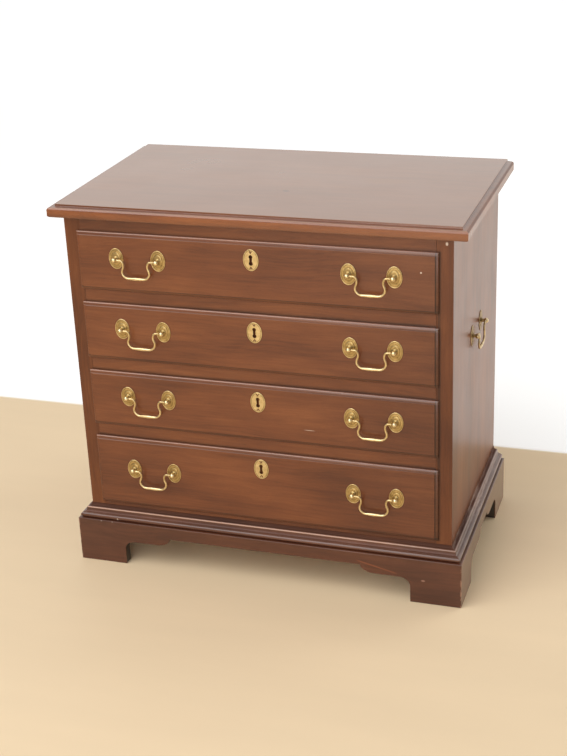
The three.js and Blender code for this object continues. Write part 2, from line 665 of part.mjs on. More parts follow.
// One plate with its post, its stem through the wood and the nut behind it. The ball's pin hole
// is open towards the middle of the handle, which lies on the given side of the post.
function postSolid(side, woodThickness) {
  const domeSize = [PLATE_WIDTH * PLATE_DOME_SHARE, PLATE_HEIGHT * PLATE_DOME_SHARE];
  const rimSize = [PLATE_WIDTH * PLATE_RIM_SHARE, PLATE_HEIGHT * PLATE_RIM_SHARE];
  const plate = loft([
    ellipse(PLATE_WIDTH, PLATE_HEIGHT, FIT_GAP),
    ellipse(PLATE_WIDTH, PLATE_HEIGHT, FIT_GAP + PLATE_EDGE / 2),
    ellipse(...rimSize, FIT_GAP + PLATE_EDGE),
    ellipse(...domeSize, FIT_GAP + PLATE_EDGE + PLATE_DOME),
  ]);
  const seat = FIT_GAP + PLATE_EDGE;
  const collarTop = FIT_GAP + PLATE_EDGE + PLATE_DOME + COLLAR_HEIGHT;
  const start = Math.asin(POST_NECK_RADIUS / BALL_RADIUS);
  const ball = Array.from({ length: BALL_STEPS + 1 }, (_, i) => {
    const angle = start + ((Math.PI - start) * i) / BALL_STEPS;
    return [BALL_RADIUS * Math.sin(angle), PIVOT_REACH - BALL_RADIUS * Math.cos(angle)];
  });
  ball[BALL_STEPS][0] = 0;
  const outline = [
    [0, seat],
    [COLLAR_RADIUS, seat],
    [COLLAR_RADIUS, collarTop - COLLAR_HEIGHT / 2],
    [POST_NECK_RADIUS, collarTop],
    ...ball,
  ].map(([radius, height]) => new THREE.Vector2(radius, height));
  const post = new THREE.LatheGeometry(outline, POST_SIDES);
  post.rotateX(Math.PI / 2);
  const turned = (geometry, low, high) => {
    geometry.rotateX(Math.PI / 2);
    geometry.translate(0, 0, (low + high) / 2);
    return solidOf(geometry);
  };
  const nutTop = -woodThickness - FIT_GAP;
  const nutLow = nutTop - NUT_HEIGHT;
  const stem = new THREE.CylinderGeometry(STEM_RADIUS, STEM_RADIUS, seat - nutLow, NUT_SIDES);
  const nut = new THREE.CylinderGeometry(NUT_RADIUS, NUT_RADIUS, NUT_HEIGHT, NUT_SIDES);
  const holeRadius = PIN_RADIUS + FIT_GAP;
  const holeEnds = [0, side * (BALL_RADIUS + OVERRUN)];
  const hole = barAlongX(
    holeRadius, Math.min(...holeEnds), Math.max(...holeEnds), 0, PIVOT_REACH, ROD_SIDES
  );
  const brass = joined(
    solidOf(plate), solidOf(post), turned(stem, nutLow, seat), turned(nut, nutLow, nutTop)
  );
  return cut(brass, hole);
}

// The middle line of the right-hand half of a bail, from its pin to the middle of the grip
function bailHalfPath() {
  const at = (x, y) => new THREE.Vector2(x, y);
  const pinEnd = POST_SPACING / 2 - PIN_INSET;
  const bendStart = NECK_HALF + BEND_RUN;
  const cornerEnd = FLARE_HALF - CORNER_RUN;
  const k = QUARTER_ROUND_SHARE;
  const sway = (FLARE_DROP - NECK_DROP) / 2;
  const path = new THREE.CurvePath();
  path.add(new THREE.LineCurve(at(pinEnd, 0), at(bendStart, 0)));
  path.add(
    new THREE.CubicBezierCurve(
      at(bendStart, 0),
      at(bendStart - BEND_RUN * k, 0),
      at(NECK_HALF, -NECK_DROP * (1 - k)),
      at(NECK_HALF, -NECK_DROP)
    )
  );
  path.add(
    new THREE.CubicBezierCurve(
      at(NECK_HALF, -NECK_DROP),
      at(NECK_HALF, -NECK_DROP - sway),
      at(FLARE_HALF, -FLARE_DROP + sway),
      at(FLARE_HALF, -FLARE_DROP)
    )
  );
  path.add(
    new THREE.CubicBezierCurve(
      at(FLARE_HALF, -FLARE_DROP),
      at(FLARE_HALF, -FLARE_DROP - (BAIL_DROP - FLARE_DROP) * k),
      at(cornerEnd + CORNER_RUN * (1 - k), -BAIL_DROP),
      at(cornerEnd, -BAIL_DROP)
    )
  );
  path.add(new THREE.LineCurve(at(cornerEnd, -BAIL_DROP), at(0, -BAIL_DROP)));
  return path;
}

// How thick the rod is: a knuckle next to the ball, a thin neck and a swelling grip
function rodRadius(point) {
  const knuckleEnd = POST_SPACING / 2 - BALL_RADIUS - KNUCKLE_GAP;
  const past = (knuckleEnd - point.x) / KNUCKLE_LENGTH;
  if (point.y > -NECK_DROP / 2) {
    const fade = THREE.MathUtils.clamp(1 - past / 2, 0, 1);
    return ROD_RADIUS + (KNUCKLE_RADIUS - ROD_RADIUS) * fade;
  }
  const reach = Math.min(Math.abs(point.x) / (GRIP_LENGTH / 2), 1);
  const swell = point.y < -FLARE_DROP ? Math.cos((reach * Math.PI) / 2) ** 2 : 0;
  return ROD_RADIUS + (GRIP_RADIUS - ROD_RADIUS) * swell;
}

function rodRing(point, tangent, radius) {
  const across = new THREE.Vector3(-tangent.y, tangent.x, 0);
  return Array.from({ length: ROD_SIDES }, (_, i) => {
    const angle = ((i + 1 / 2) * 2 * Math.PI) / ROD_SIDES;
    return new THREE.Vector3(point.x, point.y, PIVOT_REACH)
      .addScaledVector(across, radius * Math.cos(angle))
      .add(new THREE.Vector3(0, 0, radius * Math.sin(angle)));
  });
}

function bailGeometry() {
  const path = bailHalfPath();
  const knuckleEnd = POST_SPACING / 2 - BALL_RADIUS - KNUCKLE_GAP;
  const stations = [];
  const pinTangent = new THREE.Vector2(-1, 0);
  const pinEnd = new THREE.Vector2(POST_SPACING / 2 - PIN_INSET, 0);
  const shoulder = new THREE.Vector2(knuckleEnd, 0);
  stations.push([pinEnd, pinTangent, PIN_RADIUS]);
  stations.push([shoulder, pinTangent, PIN_RADIUS]);
  stations.push([shoulder, pinTangent, KNUCKLE_RADIUS]);
  const half = BAIL_STEPS / 2;
  for (let i = 1; i <= half; i++) {
    const along = i / half;
    const point = path.getPointAt(along);
    if (point.x < knuckleEnd - ROD_RADIUS || point.y < 0) {
      stations.push([point, path.getTangentAt(along), rodRadius(point)]);
    }
  }
  const mirrored = stations.slice(0, -1).reverse().map(([point, tangent, radius]) => [
    new THREE.Vector2(-point.x, point.y),
    new THREE.Vector2(tangent.x, -tangent.y),
    radius,
  ]);
  return loft([...stations, ...mirrored].map((station) => rodRing(...station)));
}

// A whole handle on a wooden face: its group turns it from lying flat to standing on the face
function makeHandle(label, woodThickness, place, turn, postNames) {
  const outer = new THREE.Group();
  outer.position.set(...place);
  outer.rotation.z = turn;
  const inner = new THREE.Group();
  inner.rotation.x = Math.PI / 2;
  outer.add(inner);
  chest.add(outer);
  [-1, 1].forEach((side, i) => {
    const post = addPiece(
      `${label}_post_${postNames[i]}`, geometryOf(postSolid(-side, woodThickness)), "brass", inner
    );
    post.position.x = (side * POST_SPACING) / 2;
  });
  addPiece(`${label}_bail`, bailGeometry(), "brass", inner);
}

makeTop();
makeCaseSide("case_side_left", -1);
makeCaseSide("case_side_right", 1);
makeBack();
makeTopRail();
makeBase();
makeMoulding();

DRAWERS.forEach((drawer, i) => {
  const name = `drawer_${i + 1}`;
  makeDivider(i + 1 < DRAWERS.length ? `divider_${i + 1}` : "bottom_frame", drawer);
  makeDrawerFront(`${name}_front`, drawer);
  makeDrawerBox(`${name}_box`, drawer);
  makeDrawerBottom(`${name}_bottom`, drawer);
  makeEscutcheon(`${name}_escutcheon`, drawer);
  for (const [side, x] of handleSpots()) {
    const place = [x, DRAWER_FACE, handleHeight(drawer)];
    makeHandle(`${name}_${side}`, FRONT_THICKNESS, place, 0, ["left", "right"]);
  }
});

const caseMiddle = (CASE_FRONT + CASE_BACK) / 2;
const onLeft = [-CASE_HALF, caseMiddle, SIDE_HANDLE_HEIGHT];
const onRight = [CASE_HALF, caseMiddle, SIDE_HANDLE_HEIGHT];
makeHandle("side_left", SIDE_THICKNESS, onLeft, -Math.PI / 2, ["rear", "front"]);
makeHandle("side_right", SIDE_THICKNESS, onRight, Math.PI / 2, ["front", "rear"]);

export default chest;
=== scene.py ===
# %% [markdown]
# # A bachelor's chest
#
# The real chest is a low case of four drawers on a bracket base, in satin mahogany, with brass
# swan-neck handles. Its exact solids come ready made from a CAD program, with the places that
# everything moves round. Here they get their looks: fine mouldings, real brasses, wood grain,
# light and a camera.
#
# Everything is in metres. X runs to the right, Y to the back and Z up, and the origin is on
# the floor under the middle of the chest.

# %% Load the solids
import itertools
import math
from contextlib import contextmanager

import bmesh
import bpy
from mathutils import Matrix, Vector


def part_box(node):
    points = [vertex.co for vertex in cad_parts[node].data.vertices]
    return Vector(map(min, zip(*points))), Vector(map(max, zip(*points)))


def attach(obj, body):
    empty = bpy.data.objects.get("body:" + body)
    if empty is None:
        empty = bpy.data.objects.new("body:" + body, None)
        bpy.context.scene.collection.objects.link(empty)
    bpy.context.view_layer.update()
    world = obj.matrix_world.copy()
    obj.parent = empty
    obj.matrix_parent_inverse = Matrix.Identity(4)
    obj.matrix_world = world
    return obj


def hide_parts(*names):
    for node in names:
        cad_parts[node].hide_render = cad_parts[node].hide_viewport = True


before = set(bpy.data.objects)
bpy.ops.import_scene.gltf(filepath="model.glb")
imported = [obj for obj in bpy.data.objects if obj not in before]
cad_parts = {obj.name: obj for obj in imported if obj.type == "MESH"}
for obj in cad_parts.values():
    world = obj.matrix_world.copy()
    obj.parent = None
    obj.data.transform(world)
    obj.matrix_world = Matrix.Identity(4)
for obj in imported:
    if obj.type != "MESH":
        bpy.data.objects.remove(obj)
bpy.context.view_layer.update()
scene = bpy.context.scene
DRAWERS = (1, 2, 3, 4)

# %% [markdown]
# ## The camera
#
# The photograph looks down at the chest from the front, a little from its right. A camera can
# be placed by eye, but the vanishing points of a box give its place exactly, so these numbers
# were solved from the edges of the chest.

# %% Place the camera
CAMERA_PLACE = (0.8120, -2.4605, 1.4414)
CAMERA_TURN, CAMERA_TILT, CAMERA_ROLL = 18.711, 23.299, -2.450
CAMERA_LENS, FILM_WIDTH = 69.17, 36

bpy.ops.object.camera_add()
camera = bpy.context.object
camera.name = "camera"
camera.data.lens = CAMERA_LENS
camera.data.sensor_width = FILM_WIDTH
turned = Matrix.Rotation(math.radians(CAMERA_TURN), 4, "Z")
tilted = Matrix.Rotation(math.radians(90 - CAMERA_TILT), 4, "X")
rolled = Matrix.Rotation(math.radians(CAMERA_ROLL), 4, "Z")
camera.matrix_world = Matrix.Translation(CAMERA_PLACE) @ turned @ tilted @ rolled
scene.camera = camera
print("camera at", CAMERA_PLACE)

# %% [markdown]
# ## Building a material from nodes
#
# A material is a small network: texture nodes make patterns, and a shader at the end turns
# them into light. Adding each node by hand takes many lines, so one helper adds a node, sets
# its options, and either links an input to another node's output or gives it a plain value.

# %% A helper that adds nodes
def set_inputs(tree, node, inputs):
    """Gives each input a value, or links it to another node's output."""
    for key, value in inputs.items():
        if isinstance(value, bpy.types.NodeSocket):
            tree.links.new(value, node.inputs[key])
        else:
            node.inputs[key].default_value = value


def add(tree, kind, inputs=None, **options):
    """Adds a node with its options and inputs."""
    made = tree.nodes.new(kind)
    for key, value in options.items():
        setattr(made, key, value)
    set_inputs(tree, made, inputs or {})
    return made


def new_material(name):
    """A material with nothing but a shader; returns it, its node tree and the shader."""
    material = bpy.data.materials.new(name)
    material.use_nodes = True
    tree = material.node_tree
    tree.nodes.clear()
    shader = add(tree, "ShaderNodeBsdfPrincipled")
    add(tree, "ShaderNodeOutputMaterial", {"Surface": shader.outputs[0]})
    return material, tree, shader


print("node helper ready")

# %% [markdown]
# Most nodes here do sums, mix colours or make clouds of noise. Each gets a helper with a short
# name, so that the recipe of a finish reads almost like a sentence. A socket knows the node
# tree that it is in, so the helpers find the tree by themselves.

# %% Helpers for sums
def tree_of(*values):
    """The node tree of the first value that is a node's output."""
    return next(v.id_data for v in values if isinstance(v, bpy.types.NodeSocket))


def math_node(operation, *values, clamp=False):
    """One operation on one or two numbers; returns its output."""
    inputs = dict(enumerate(values))
    made = add(tree_of(*values), "ShaderNodeMath", inputs, operation=operation, use_clamp=clamp)
    return made.outputs[0]


def plus(first, *others):
    """The sum of all the numbers."""
    for other in others:
        first = math_node("ADD", first, other)
    return first


def minus(first, second):
    """The first number less the second."""
    return math_node("SUBTRACT", first, second)


def times(first, *others):
    """The product of all the numbers."""
    for other in others:
        first = math_node("MULTIPLY", first, other)
    return first


def vector_node(operation, vector, other):
    """One operation on a vector or colour, with another one, or with a number for SCALE."""
    key = "Scale" if operation == "SCALE" else 1
    made = add(tree_of(vector, other), "ShaderNodeVectorMath", {0: vector, key: other},
               operation=operation)
    return made.outputs[0]


print("helpers for sums ready")


# %% Helpers for colours and patterns
def mix_colours(share, first, second, blend="MIX"):
    """Mixes two colours; returns the mixed colour."""
    made = add(share.id_data, "ShaderNodeMix", {0: share, 6: first, 7: second},
               data_type="RGBA", blend_type=blend)
    return made.outputs[2]


def remap(value, low, high, to_low=0.0, to_high=1.0, smooth=False):
    """Brings a number from one range to another, and keeps it there."""
    inputs = {"Value": value, "From Min": low, "From Max": high, "To Min": to_low,
              "To Max": to_high}
    kind = "SMOOTHSTEP" if smooth else "LINEAR"
    made = add(value.id_data, "ShaderNodeMapRange", inputs, interpolation_type=kind)
    return made.outputs[0]


def noise(vector, stretch, detail=3.0, roughness=0.5):
    """A cloudy pattern from 0 to 1; stretch is its lumps per metre along each axis."""
    scaled = vector_node("MULTIPLY", vector, stretch)
    inputs = {"Vector": scaled, "Scale": 1.0, "Detail": detail, "Roughness": roughness}
    return add(vector.id_data, "ShaderNodeTexNoise", inputs).outputs[0]


def three_tones(value, colours, start=0.0, end=1.0):
    """Turns a number into a colour that runs through three colours from start to end."""
    ramp = add(value.id_data, "ShaderNodeValToRGB", {0: value})
    stops = ramp.color_ramp.elements
    stops[0].position, stops[1].position = start, end
    stops.new(0.5)
    for stop, colour in zip(stops, colours):
        stop.color = (*colour, 1)
    return ramp.outputs[0]


print("helpers for colours and patterns ready")

# %% [markdown]
# ## The floor and the light
#
# The chest stands on a pale floor, and all is white behind it. A white backdrop would hide the
# chest in views from behind, so there is none: past a line behind the chest, the floor itself
# turns white. Glossy wood shows that white in its reflections, which is what makes the top and
# the side look pale in the photograph.

# %% The floor
WHITE_LINE = 0.444
FLOOR_SIZE, FLOOR_DROP = 16, 0.0004
FLOOR_COLOUR = (0.91, 0.715, 0.475)
WHITE, WARM_WHITE = (0.90, 0.90, 0.89, 1), (0.90, 0.855, 0.79, 1)

bpy.ops.mesh.primitive_plane_add(size=FLOOR_SIZE, location=(0, 0, -FLOOR_DROP))
floor = bpy.context.object
floor.name = "floor"
floor_material, tree, shader = new_material("floor")
place = add(tree, "ShaderNodeNewGeometry").outputs["Position"]
depth = add(tree, "ShaderNodeSeparateXYZ", {0: place}).outputs["Y"]
past_line = remap(depth, WHITE_LINE - 0.004, WHITE_LINE + 0.012, smooth=True)
clouds = remap(noise(place, (2.0, 9.0, 1.0)), 0.2, 0.8, 0.97, 1.03)
plain = vector_node("SCALE", FLOOR_COLOUR, clouds)
ray = add(tree, "ShaderNodeLightPath").outputs
camera_ray = ray["Is Camera Ray"]
white_part = mix_colours(camera_ray, WARM_WHITE, WHITE)
seen = math_node("ADD", camera_ray, ray["Is Glossy Ray"], clamp=True)
brighter = remap(depth, WHITE_LINE, 4.0, 0.32, 0.60)
set_inputs(tree, shader, {
    "Base Color": mix_colours(past_line, plain, white_part),
    "Roughness": 0.55,
    "Specular IOR Level": 0.25,
    "Emission Color": mix_colours(camera_ray, (1.14, 1.04, 0.93, 1), (1, 1, 1, 1)),
    "Emission Strength": times(seen, past_line, brighter)})
floor.data.materials.append(floor_material)
print("floor white past y =", WHITE_LINE)

# %% [markdown]
# The light in the photograph is soft. Most of it comes from above, a little to the left of the
# camera, and some comes from the front. The world around gives an even glow. To the camera it
# is white all round, and polished things see white at the back and a dimmer tone in front:
# without that difference, a curved moulding would look flat.

# %% The world
world = bpy.data.worlds.new("studio")
world.use_nodes = True
scene.world = world
tree = world.node_tree
tree.nodes.clear()


def background(colour, strength):
    """A glow of one colour all round; returns its output."""
    inputs = {"Color": colour, "Strength": strength}
    return add(tree, "ShaderNodeBackground", inputs).outputs[0]


ray = add(tree, "ShaderNodeLightPath").outputs
direction = add(tree, "ShaderNodeTexCoord").outputs["Generated"]
towards = add(tree, "ShaderNodeSeparateXYZ", {0: direction}).outputs
dimmer = remap(towards["Y"], -0.5, 0.3, 0.35, 1.0, smooth=True)
height = math_node("ABSOLUTE", towards["Z"])
glow = remap(height, 0.0, 0.7, 0.74, 0.32, smooth=True)
polished = math_node("ADD", ray["Is Glossy Ray"], ray["Is Transmission Ray"], clamp=True)
unseen = add(tree, "ShaderNodeMixShader", {
    0: polished, 1: background((1.0, 0.985, 0.96, 1), glow),
    2: background((1, 0.965, 0.92, 1), dimmer)})
both = add(tree, "ShaderNodeMixShader", {
    0: ray["Is Camera Ray"], 1: unseen.outputs[0], 2: background((1, 1, 1, 1), 1.0)})
add(tree, "ShaderNodeOutputWorld", {"Surface": both.outputs[0]})
print("world: white to the camera, dimmer in front to polished things")

# %% [markdown]
# Area lights are as soft as they are large. Two make the light of the photograph, and two weak
# ones brighten the side and the back. These two would show as bright patches in the lacquer,
# so reflections don't see them.

# %% The lights
def soft_light(name, place, target, size, power):
    """A square area light that points at the target, and doesn't show itself."""
    bpy.ops.object.light_add(type="AREA", location=place)
    light = bpy.context.object
    light.name = name
    light.data.size = size
    light.data.energy = power
    direction = Vector(target) - Vector(place)
    light.rotation_euler = direction.to_track_quat("-Z", "Y").to_euler()
    light.visible_camera = False
    return light


soft_light("upper light", (-1.2, -2.0, 3.0), (0, 0, 0.35), size=3.0, power=78)
soft_light("front light", (0.2, -3.3, 1.1), (0, 0, 0.2), size=2.0, power=28)
side_light = soft_light("side light", (2.0, 1.4, 0.9), (0.38, 0, 0.4), size=1.5, power=20)
back_light = soft_light("back light", (-0.7, 2.7, 2.2), (0, 0, 0.7), size=2.2, power=8)
side_light.visible_glossy = back_light.visible_glossy = False
scene.view_settings.view_transform = "Standard"

# %% [markdown]
# ## Mahogany
#
# Mahogany has long soft streaks, fine fibres and short dark pores, all along the grain. Noise
# that is stretched along one axis gives all three, at different sizes. The pattern is made in
# three dimensions, as real wood is, so the grain runs on round an edge of a board. It is made
# once as a node group, and each board moves and turns it, so that no two boards look cut from
# the same place.

# %% The grain, as a node group
def wood_group(name, colours, pores):
    """A group that turns a place, with the grain along X, into colour and height."""
    group = bpy.data.node_groups.new(name, "ShaderNodeTree")
    for label, way, kind in (("Vector", "INPUT", "Vector"), ("Tone", "INPUT", "Float"),
                             ("Color", "OUTPUT", "Color"), ("Height", "OUTPUT", "Float")):
        group.interface.new_socket(label, in_out=way, socket_type=f"NodeSocket{kind}")
    taken = add(group, "NodeGroupInput").outputs
    sway = noise(taken["Vector"], (4.0, 9.0, 9.0), 2.0)
    shift = times(minus(sway, 0.5), 0.030)
    moved = add(group, "ShaderNodeCombineXYZ", {"Y": shift, "Z": shift}).outputs[0]
    swayed = vector_node("ADD", taken["Vector"], moved)
    clouds = noise(swayed, (4.5, 13.0, 13.0), 2.0)
    bands = noise(swayed, (3.2, 62.0, 62.0), 2.0)
    streaks = noise(swayed, (13.0, 260.0, 260.0), 3.0, 0.6)
    fibres = noise(swayed, (26.0, 1500.0, 1500.0), 2.0, 0.6)
    flecks = noise(swayed, (95.0, 1900.0, 1900.0), 1.0)
    figure = plus(times(clouds, 0.46), times(bands, 0.24), times(streaks, 0.30), taken["Tone"])
    pore = remap(flecks, 0.62, 0.74, 0.0, pores, smooth=True)
    thin = remap(fibres, 0.3, 0.7, 1.05, 0.95)
    toned = vector_node("SCALE", three_tones(figure, colours, 0.36, 0.66), thin)
    deep = vector_node("SCALE", toned, 0.42)
    height = minus(times(fibres, 0.35), pore)
    add(group, "NodeGroupOutput", {"Color": mix_colours(pore, toned, deep), "Height": height})
    return group


MAHOGANY = wood_group("mahogany", ((0.101, 0.0255, 0.0074), (0.157, 0.0428, 0.0117),
                                   (0.220, 0.0675, 0.0192)), pores=0.45)
RED_MAHOGANY = wood_group("red mahogany", ((0.068, 0.0195, 0.0085), (0.106, 0.0325, 0.0140),
                                           (0.156, 0.0500, 0.0215)), pores=0.45)
PALE_WOOD = wood_group("pale wood", ((0.36, 0.225, 0.115), (0.47, 0.315, 0.170),
                                     (0.56, 0.400, 0.235)), pores=0.25)
print("woods:", [g.name for g in bpy.data.node_groups])

# %% [markdown]
# A board's material brings the grain round to the board's own length, and starts it at a place
# of its own. The finish is the same all over, so it is set on the shader: a satin lacquer,
# which is a thin clear coat over the wood.

# %% Boards in any direction
GRAIN_TURNS = {"X": (0, 0, 0), "Y": (0, 0, math.radians(90)), "Z": (0, math.radians(90), 0)}
BOARD_STEP = (1.37, 0.53, 0.71)
board_numbers = itertools.count(1)


def board_material(name, wood, along, tone=0.0, coat=0.4, roughness=0.38, relief=0.03, marks=None):
    """A board of that wood with its grain along an axis. marks may stain and dull it."""
    number = next(board_numbers)
    material, tree, shader = new_material(name)
    place = add(tree, "ShaderNodeTexCoord").outputs["Object"]
    mapping = add(tree, "ShaderNodeMapping", {
        "Vector": place, "Location": [step * number for step in BOARD_STEP],
        "Rotation": GRAIN_TURNS[along]})
    grain = add(tree, "ShaderNodeGroup", {"Vector": mapping.outputs[0], "Tone": tone},
                node_tree=wood)
    colour = grain.outputs["Color"]
    shine = remap(noise(place, (7.0, 7.0, 7.0)), 0.3, 0.7, roughness - 0.03, roughness + 0.03)
    if marks:
        colour, shine, *gloss = marks(place, colour, shine)
        if gloss:
            coat = times(gloss[0], coat)
    bump = add(tree, "ShaderNodeBump", {"Strength": relief, "Distance": 0.0003,
                                        "Height": grain.outputs["Height"]})
    set_inputs(tree, shader, {
        "Base Color": colour, "Roughness": shine, "Normal": bump.outputs[0],
        "Specular IOR Level": 0.4, "Coat Weight": coat, "Coat Roughness": 0.20,
        "Coat IOR": 1.5})
    return material


print("board directions:", sorted(GRAIN_TURNS))

# %% [markdown]
# Years of use leave marks: some dark wax in the corners, worn noses, dents and scratches.
# Painted shade also darkens corners, steps and hollows, and painted highlights lighten noses
# and edges. Each is a mask, a number that is 1 where the mark is and 0 elsewhere, worked out
# from the place on the board. The mask then mixes the wood's colour with the colour of the mark.

# %% Masks for marks
def millimetres(*values):
    """Lengths in millimetres, as a vector in metres."""
    return Vector(values) / 1000


def corners(node):
    """A solid's lowest and highest corner in millimetres."""
    low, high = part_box(node)
    return low * 1000, high * 1000


def coordinates(place):
    """The three coordinates of a place, in millimetres."""
    split = add(place.id_data, "ShaderNodeSeparateXYZ", {0: place}).outputs
    return [times(split[letter], 1000) for letter in "XYZ"]


def between(value, low, high, soft):
    """1 between two values, fading to 0 over a soft edge outside them."""
    return times(remap(value, low - soft, low, smooth=True),
                 remap(value, high, high + soft, 1.0, 0.0, smooth=True))


def spot(place, middle, reach, strength=1.0):
    """A soft spot round a place, with its reach along each axis; all in millimetres."""
    away = vector_node("SUBTRACT", place, millimetres(*middle))
    scaled = vector_node("MULTIPLY", away, [1000 / r for r in reach])
    distance = add(place.id_data, "ShaderNodeVectorMath", {0: scaled}, operation="LENGTH")
    return remap(distance.outputs["Value"], 1.0, 0.4, 0.0, strength, smooth=True)


print("masks ready")


# %% Colours for marks
# Painted shade, nearly black, for the sawn edges and inner faces of the base.
PAINTED_SHADE_INSIDE = (0.020, 0.011, 0.007)
# Lighter wood, for real wear and knocks and for painted highlights.
WORN_WOOD_AND_HIGHLIGHT = (0.47, 0.255, 0.165)
PALE_CHIP = (0.62, 0.50, 0.40)


def tint(colour, share, stain):
    """The wood's colour, stained by a share of another colour."""
    return mix_colours(share, colour, (*stain, 1))


def shade(colour, share, factor):
    """The wood's colour, darkened to a factor of itself where the share is 1."""
    factors = factor if isinstance(factor, tuple) else (factor,) * 3
    return mix_colours(share, colour, (*factors, 1), blend="MULTIPLY")


def dab(place, colour, stain, middle, reach, strength=1.0):
    """The wood's colour with one soft spot of a stain."""
    return tint(colour, spot(place, middle, reach, strength), stain)


print("worn wood and chips:", WORN_WOOD_AND_HIGHLIGHT, PALE_CHIP)

# %% [markdown]
# ## Shaping by hand
#
# Most pieces here are grown: a box or a disc is added, one of its faces is selected, and that
# face is extruded and scaled again and again, ring by ring. That is how a board gets a moulded
# edge, and how a disc becomes a turned knob. A face is found in code by where its middle is.

# %% Helpers that select and start a shape
TINY, CLOSE = 1e-6, 1e-5


def only(obj):
    """Selects this object alone and makes it active."""
    bpy.ops.object.select_all(action="DESELECT")
    obj.select_set(True)
    bpy.context.view_layer.objects.active = obj


@contextmanager
def editing(obj):
    """Edit mode on one object, all selected at first, for as long as the block lasts."""
    only(obj)
    bpy.ops.object.mode_set(mode="EDIT")
    bpy.ops.mesh.select_all(action="SELECT")
    yield
    bpy.ops.object.mode_set(mode="OBJECT")


def start_shape(name, low, high, sides=0):
    """A box between two corners, or with sides, a disc along Z that fills it."""
    low, high = Vector(low), Vector(high)
    bpy.ops.object.select_all(action="DESELECT")
    middle = (low + high) / 2
    if sides:
        bpy.ops.mesh.primitive_cylinder_add(vertices=sides, radius=0.5, depth=1, location=middle)
    else:
        bpy.ops.mesh.primitive_cube_add(size=1, location=middle)
    obj = bpy.context.object
    obj.name = obj.data.name = name
    obj.scale = high - low
    bpy.ops.object.transform_apply()
    return obj


def pick(obj, kind, test):
    """In edit mode, selects the edges or faces that pass a test; there must be one."""
    bpy.ops.mesh.select_mode(type=kind)
    bpy.ops.mesh.select_all(action="DESELECT")
    shape = bmesh.from_edit_mesh(obj.data)
    parts = {"EDGE": shape.edges, "FACE": shape.faces}[kind]
    chosen = [part for part in parts if test(part)]
    assert len(chosen) == 1, (obj.name, len(chosen))
    chosen[0].select_set(True)
    shape.select_flush_mode()
    bmesh.update_edit_mesh(obj.data)


print("shapes can be started and picked")


# %% Helpers that grow a shape
def grow(obj, rings):
    """Extrudes the flat face on the first ring through the others. A ring is two corners."""
    middles = [(low + high) / 2 for low, high in rings]
    sizes = [high - low for low, high in rings]
    with editing(obj):
        pick(obj, "FACE", lambda f: (f.calc_center_bounds() - middles[0]).length < CLOSE)
        for i in range(1, len(rings)):
            bpy.ops.mesh.extrude_region_move(
                TRANSFORM_OT_translate={"value": middles[i] - middles[i - 1]})
            scale = [1 if abs(b) < TINY else a / b for a, b in zip(sizes[i], sizes[i - 1])]
            bpy.ops.transform.resize(value=scale, center_override=middles[i])


def quarter(start, end, steps=8, hollow=False):
    """Points of a quarter of an oval. A round one leaves along the first coordinate."""
    points = []
    for i in range(steps + 1):
        turn = math.pi / 2 * i / steps
        share = (1 - math.cos(turn), math.sin(turn)) if hollow else (
            math.sin(turn), 1 - math.cos(turn))
        points.append((start[0] + (end[0] - start[0]) * share[0],
                       start[1] + (end[1] - start[1]) * share[1]))
    return points


print("a quarter round has", len(quarter((0, 0), (1, 1))), "points")

# %% [markdown]
# Real edges are never quite sharp: a cabinet maker takes them off with fine paper, and the
# tiny round catches the light. The Bevel modifier does that to every edge that is sharp
# enough. Smooth shading alone would then bend the light on the flat faces beside it too, so
# Weighted Normal lets the large faces keep their own direction. Once a piece is finished, it
# rides on a body of the CAD model, stands for the solid that it replaces, and gets its finish.

# %% Helpers that finish a piece
def apply_modifiers(obj):
    """Applies every modifier of the object, in order."""
    only(obj)
    for modifier in list(obj.modifiers):
        bpy.ops.object.modifier_apply(modifier=modifier.name)


def soften(obj, width):
    """Takes the sharp edges off and smooths the shading where faces almost line up."""
    bevel = obj.modifiers.new("eased edges", "BEVEL")
    bevel.width, bevel.segments = width, 2
    bevel.limit_method, bevel.angle_limit = "ANGLE", math.radians(35)
    bevel.use_clamp_overlap = True
    apply_modifiers(obj)
    bpy.ops.object.shade_smooth_by_angle(angle=math.radians(30))
    weighted = obj.modifiers.new("flat faces stay flat", "WEIGHTED_NORMAL")
    weighted.keep_sharp = True
    apply_modifiers(obj)


def cut_away(obj, cutters):
    """Cuts the other objects out of this one, and removes them."""
    for cutter in cutters:
        boolean = obj.modifiers.new("cut", "BOOLEAN")
        boolean.operation, boolean.solver, boolean.object = "DIFFERENCE", "EXACT", cutter
    apply_modifiers(obj)
    for cutter in cutters:
        bpy.data.objects.remove(cutter)
    with editing(obj):
        bpy.ops.mesh.remove_doubles(threshold=CLOSE)


def settle(obj, body, material, node=None):
    """Dresses a finished piece, and ties it to its body, its finish and its solid."""
    obj.data.materials.clear()
    obj.data.materials.append(material)
    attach(obj, body)
    if node:
        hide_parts(node)


print("finishing helpers ready")

# %% [markdown]
# ## The top board
#
# The top is one board with a moulding worked along its front and ends: from above, a small
# upright step, a ledge, a rounded nose and a flat. It could be a profile swept round three
# sides, but growing it from the underside upwards is simpler, and the mitres at the corners
# come by themselves. Each ring is scaled about the back edge, which stays square.

# %% Grow the top
top_low, top_high = corners("top_board")
TOP_REBATE = 1.6


def top_ring(inward, drop):
    """A ring round the top, that far in from its edge and down from its face."""
    return (millimetres(top_low.x + inward, top_low.y + inward, top_high.z - drop),
            millimetres(top_high.x - inward, top_high.y, top_high.z - drop))


underside = top_high.z - top_low.z
foot = underside - TOP_REBATE
nose = quarter((4.6, 4.3), (0, 8.8), steps=10)
edge = [(TOP_REBATE, foot), (0, foot), *reversed(nose), (8, 3.85), (11.3, 3.6), (11.8, 3.0),
        (12, 0)]
top = start_shape("top_board_moulded", top_ring(TOP_REBATE, underside)[0],
                  top_ring(TOP_REBATE, foot)[1])
grow(top, [top_ring(*point) for point in edge])
soften(top, 0.0003)
print("top board:", len(top.data.polygons), "faces")
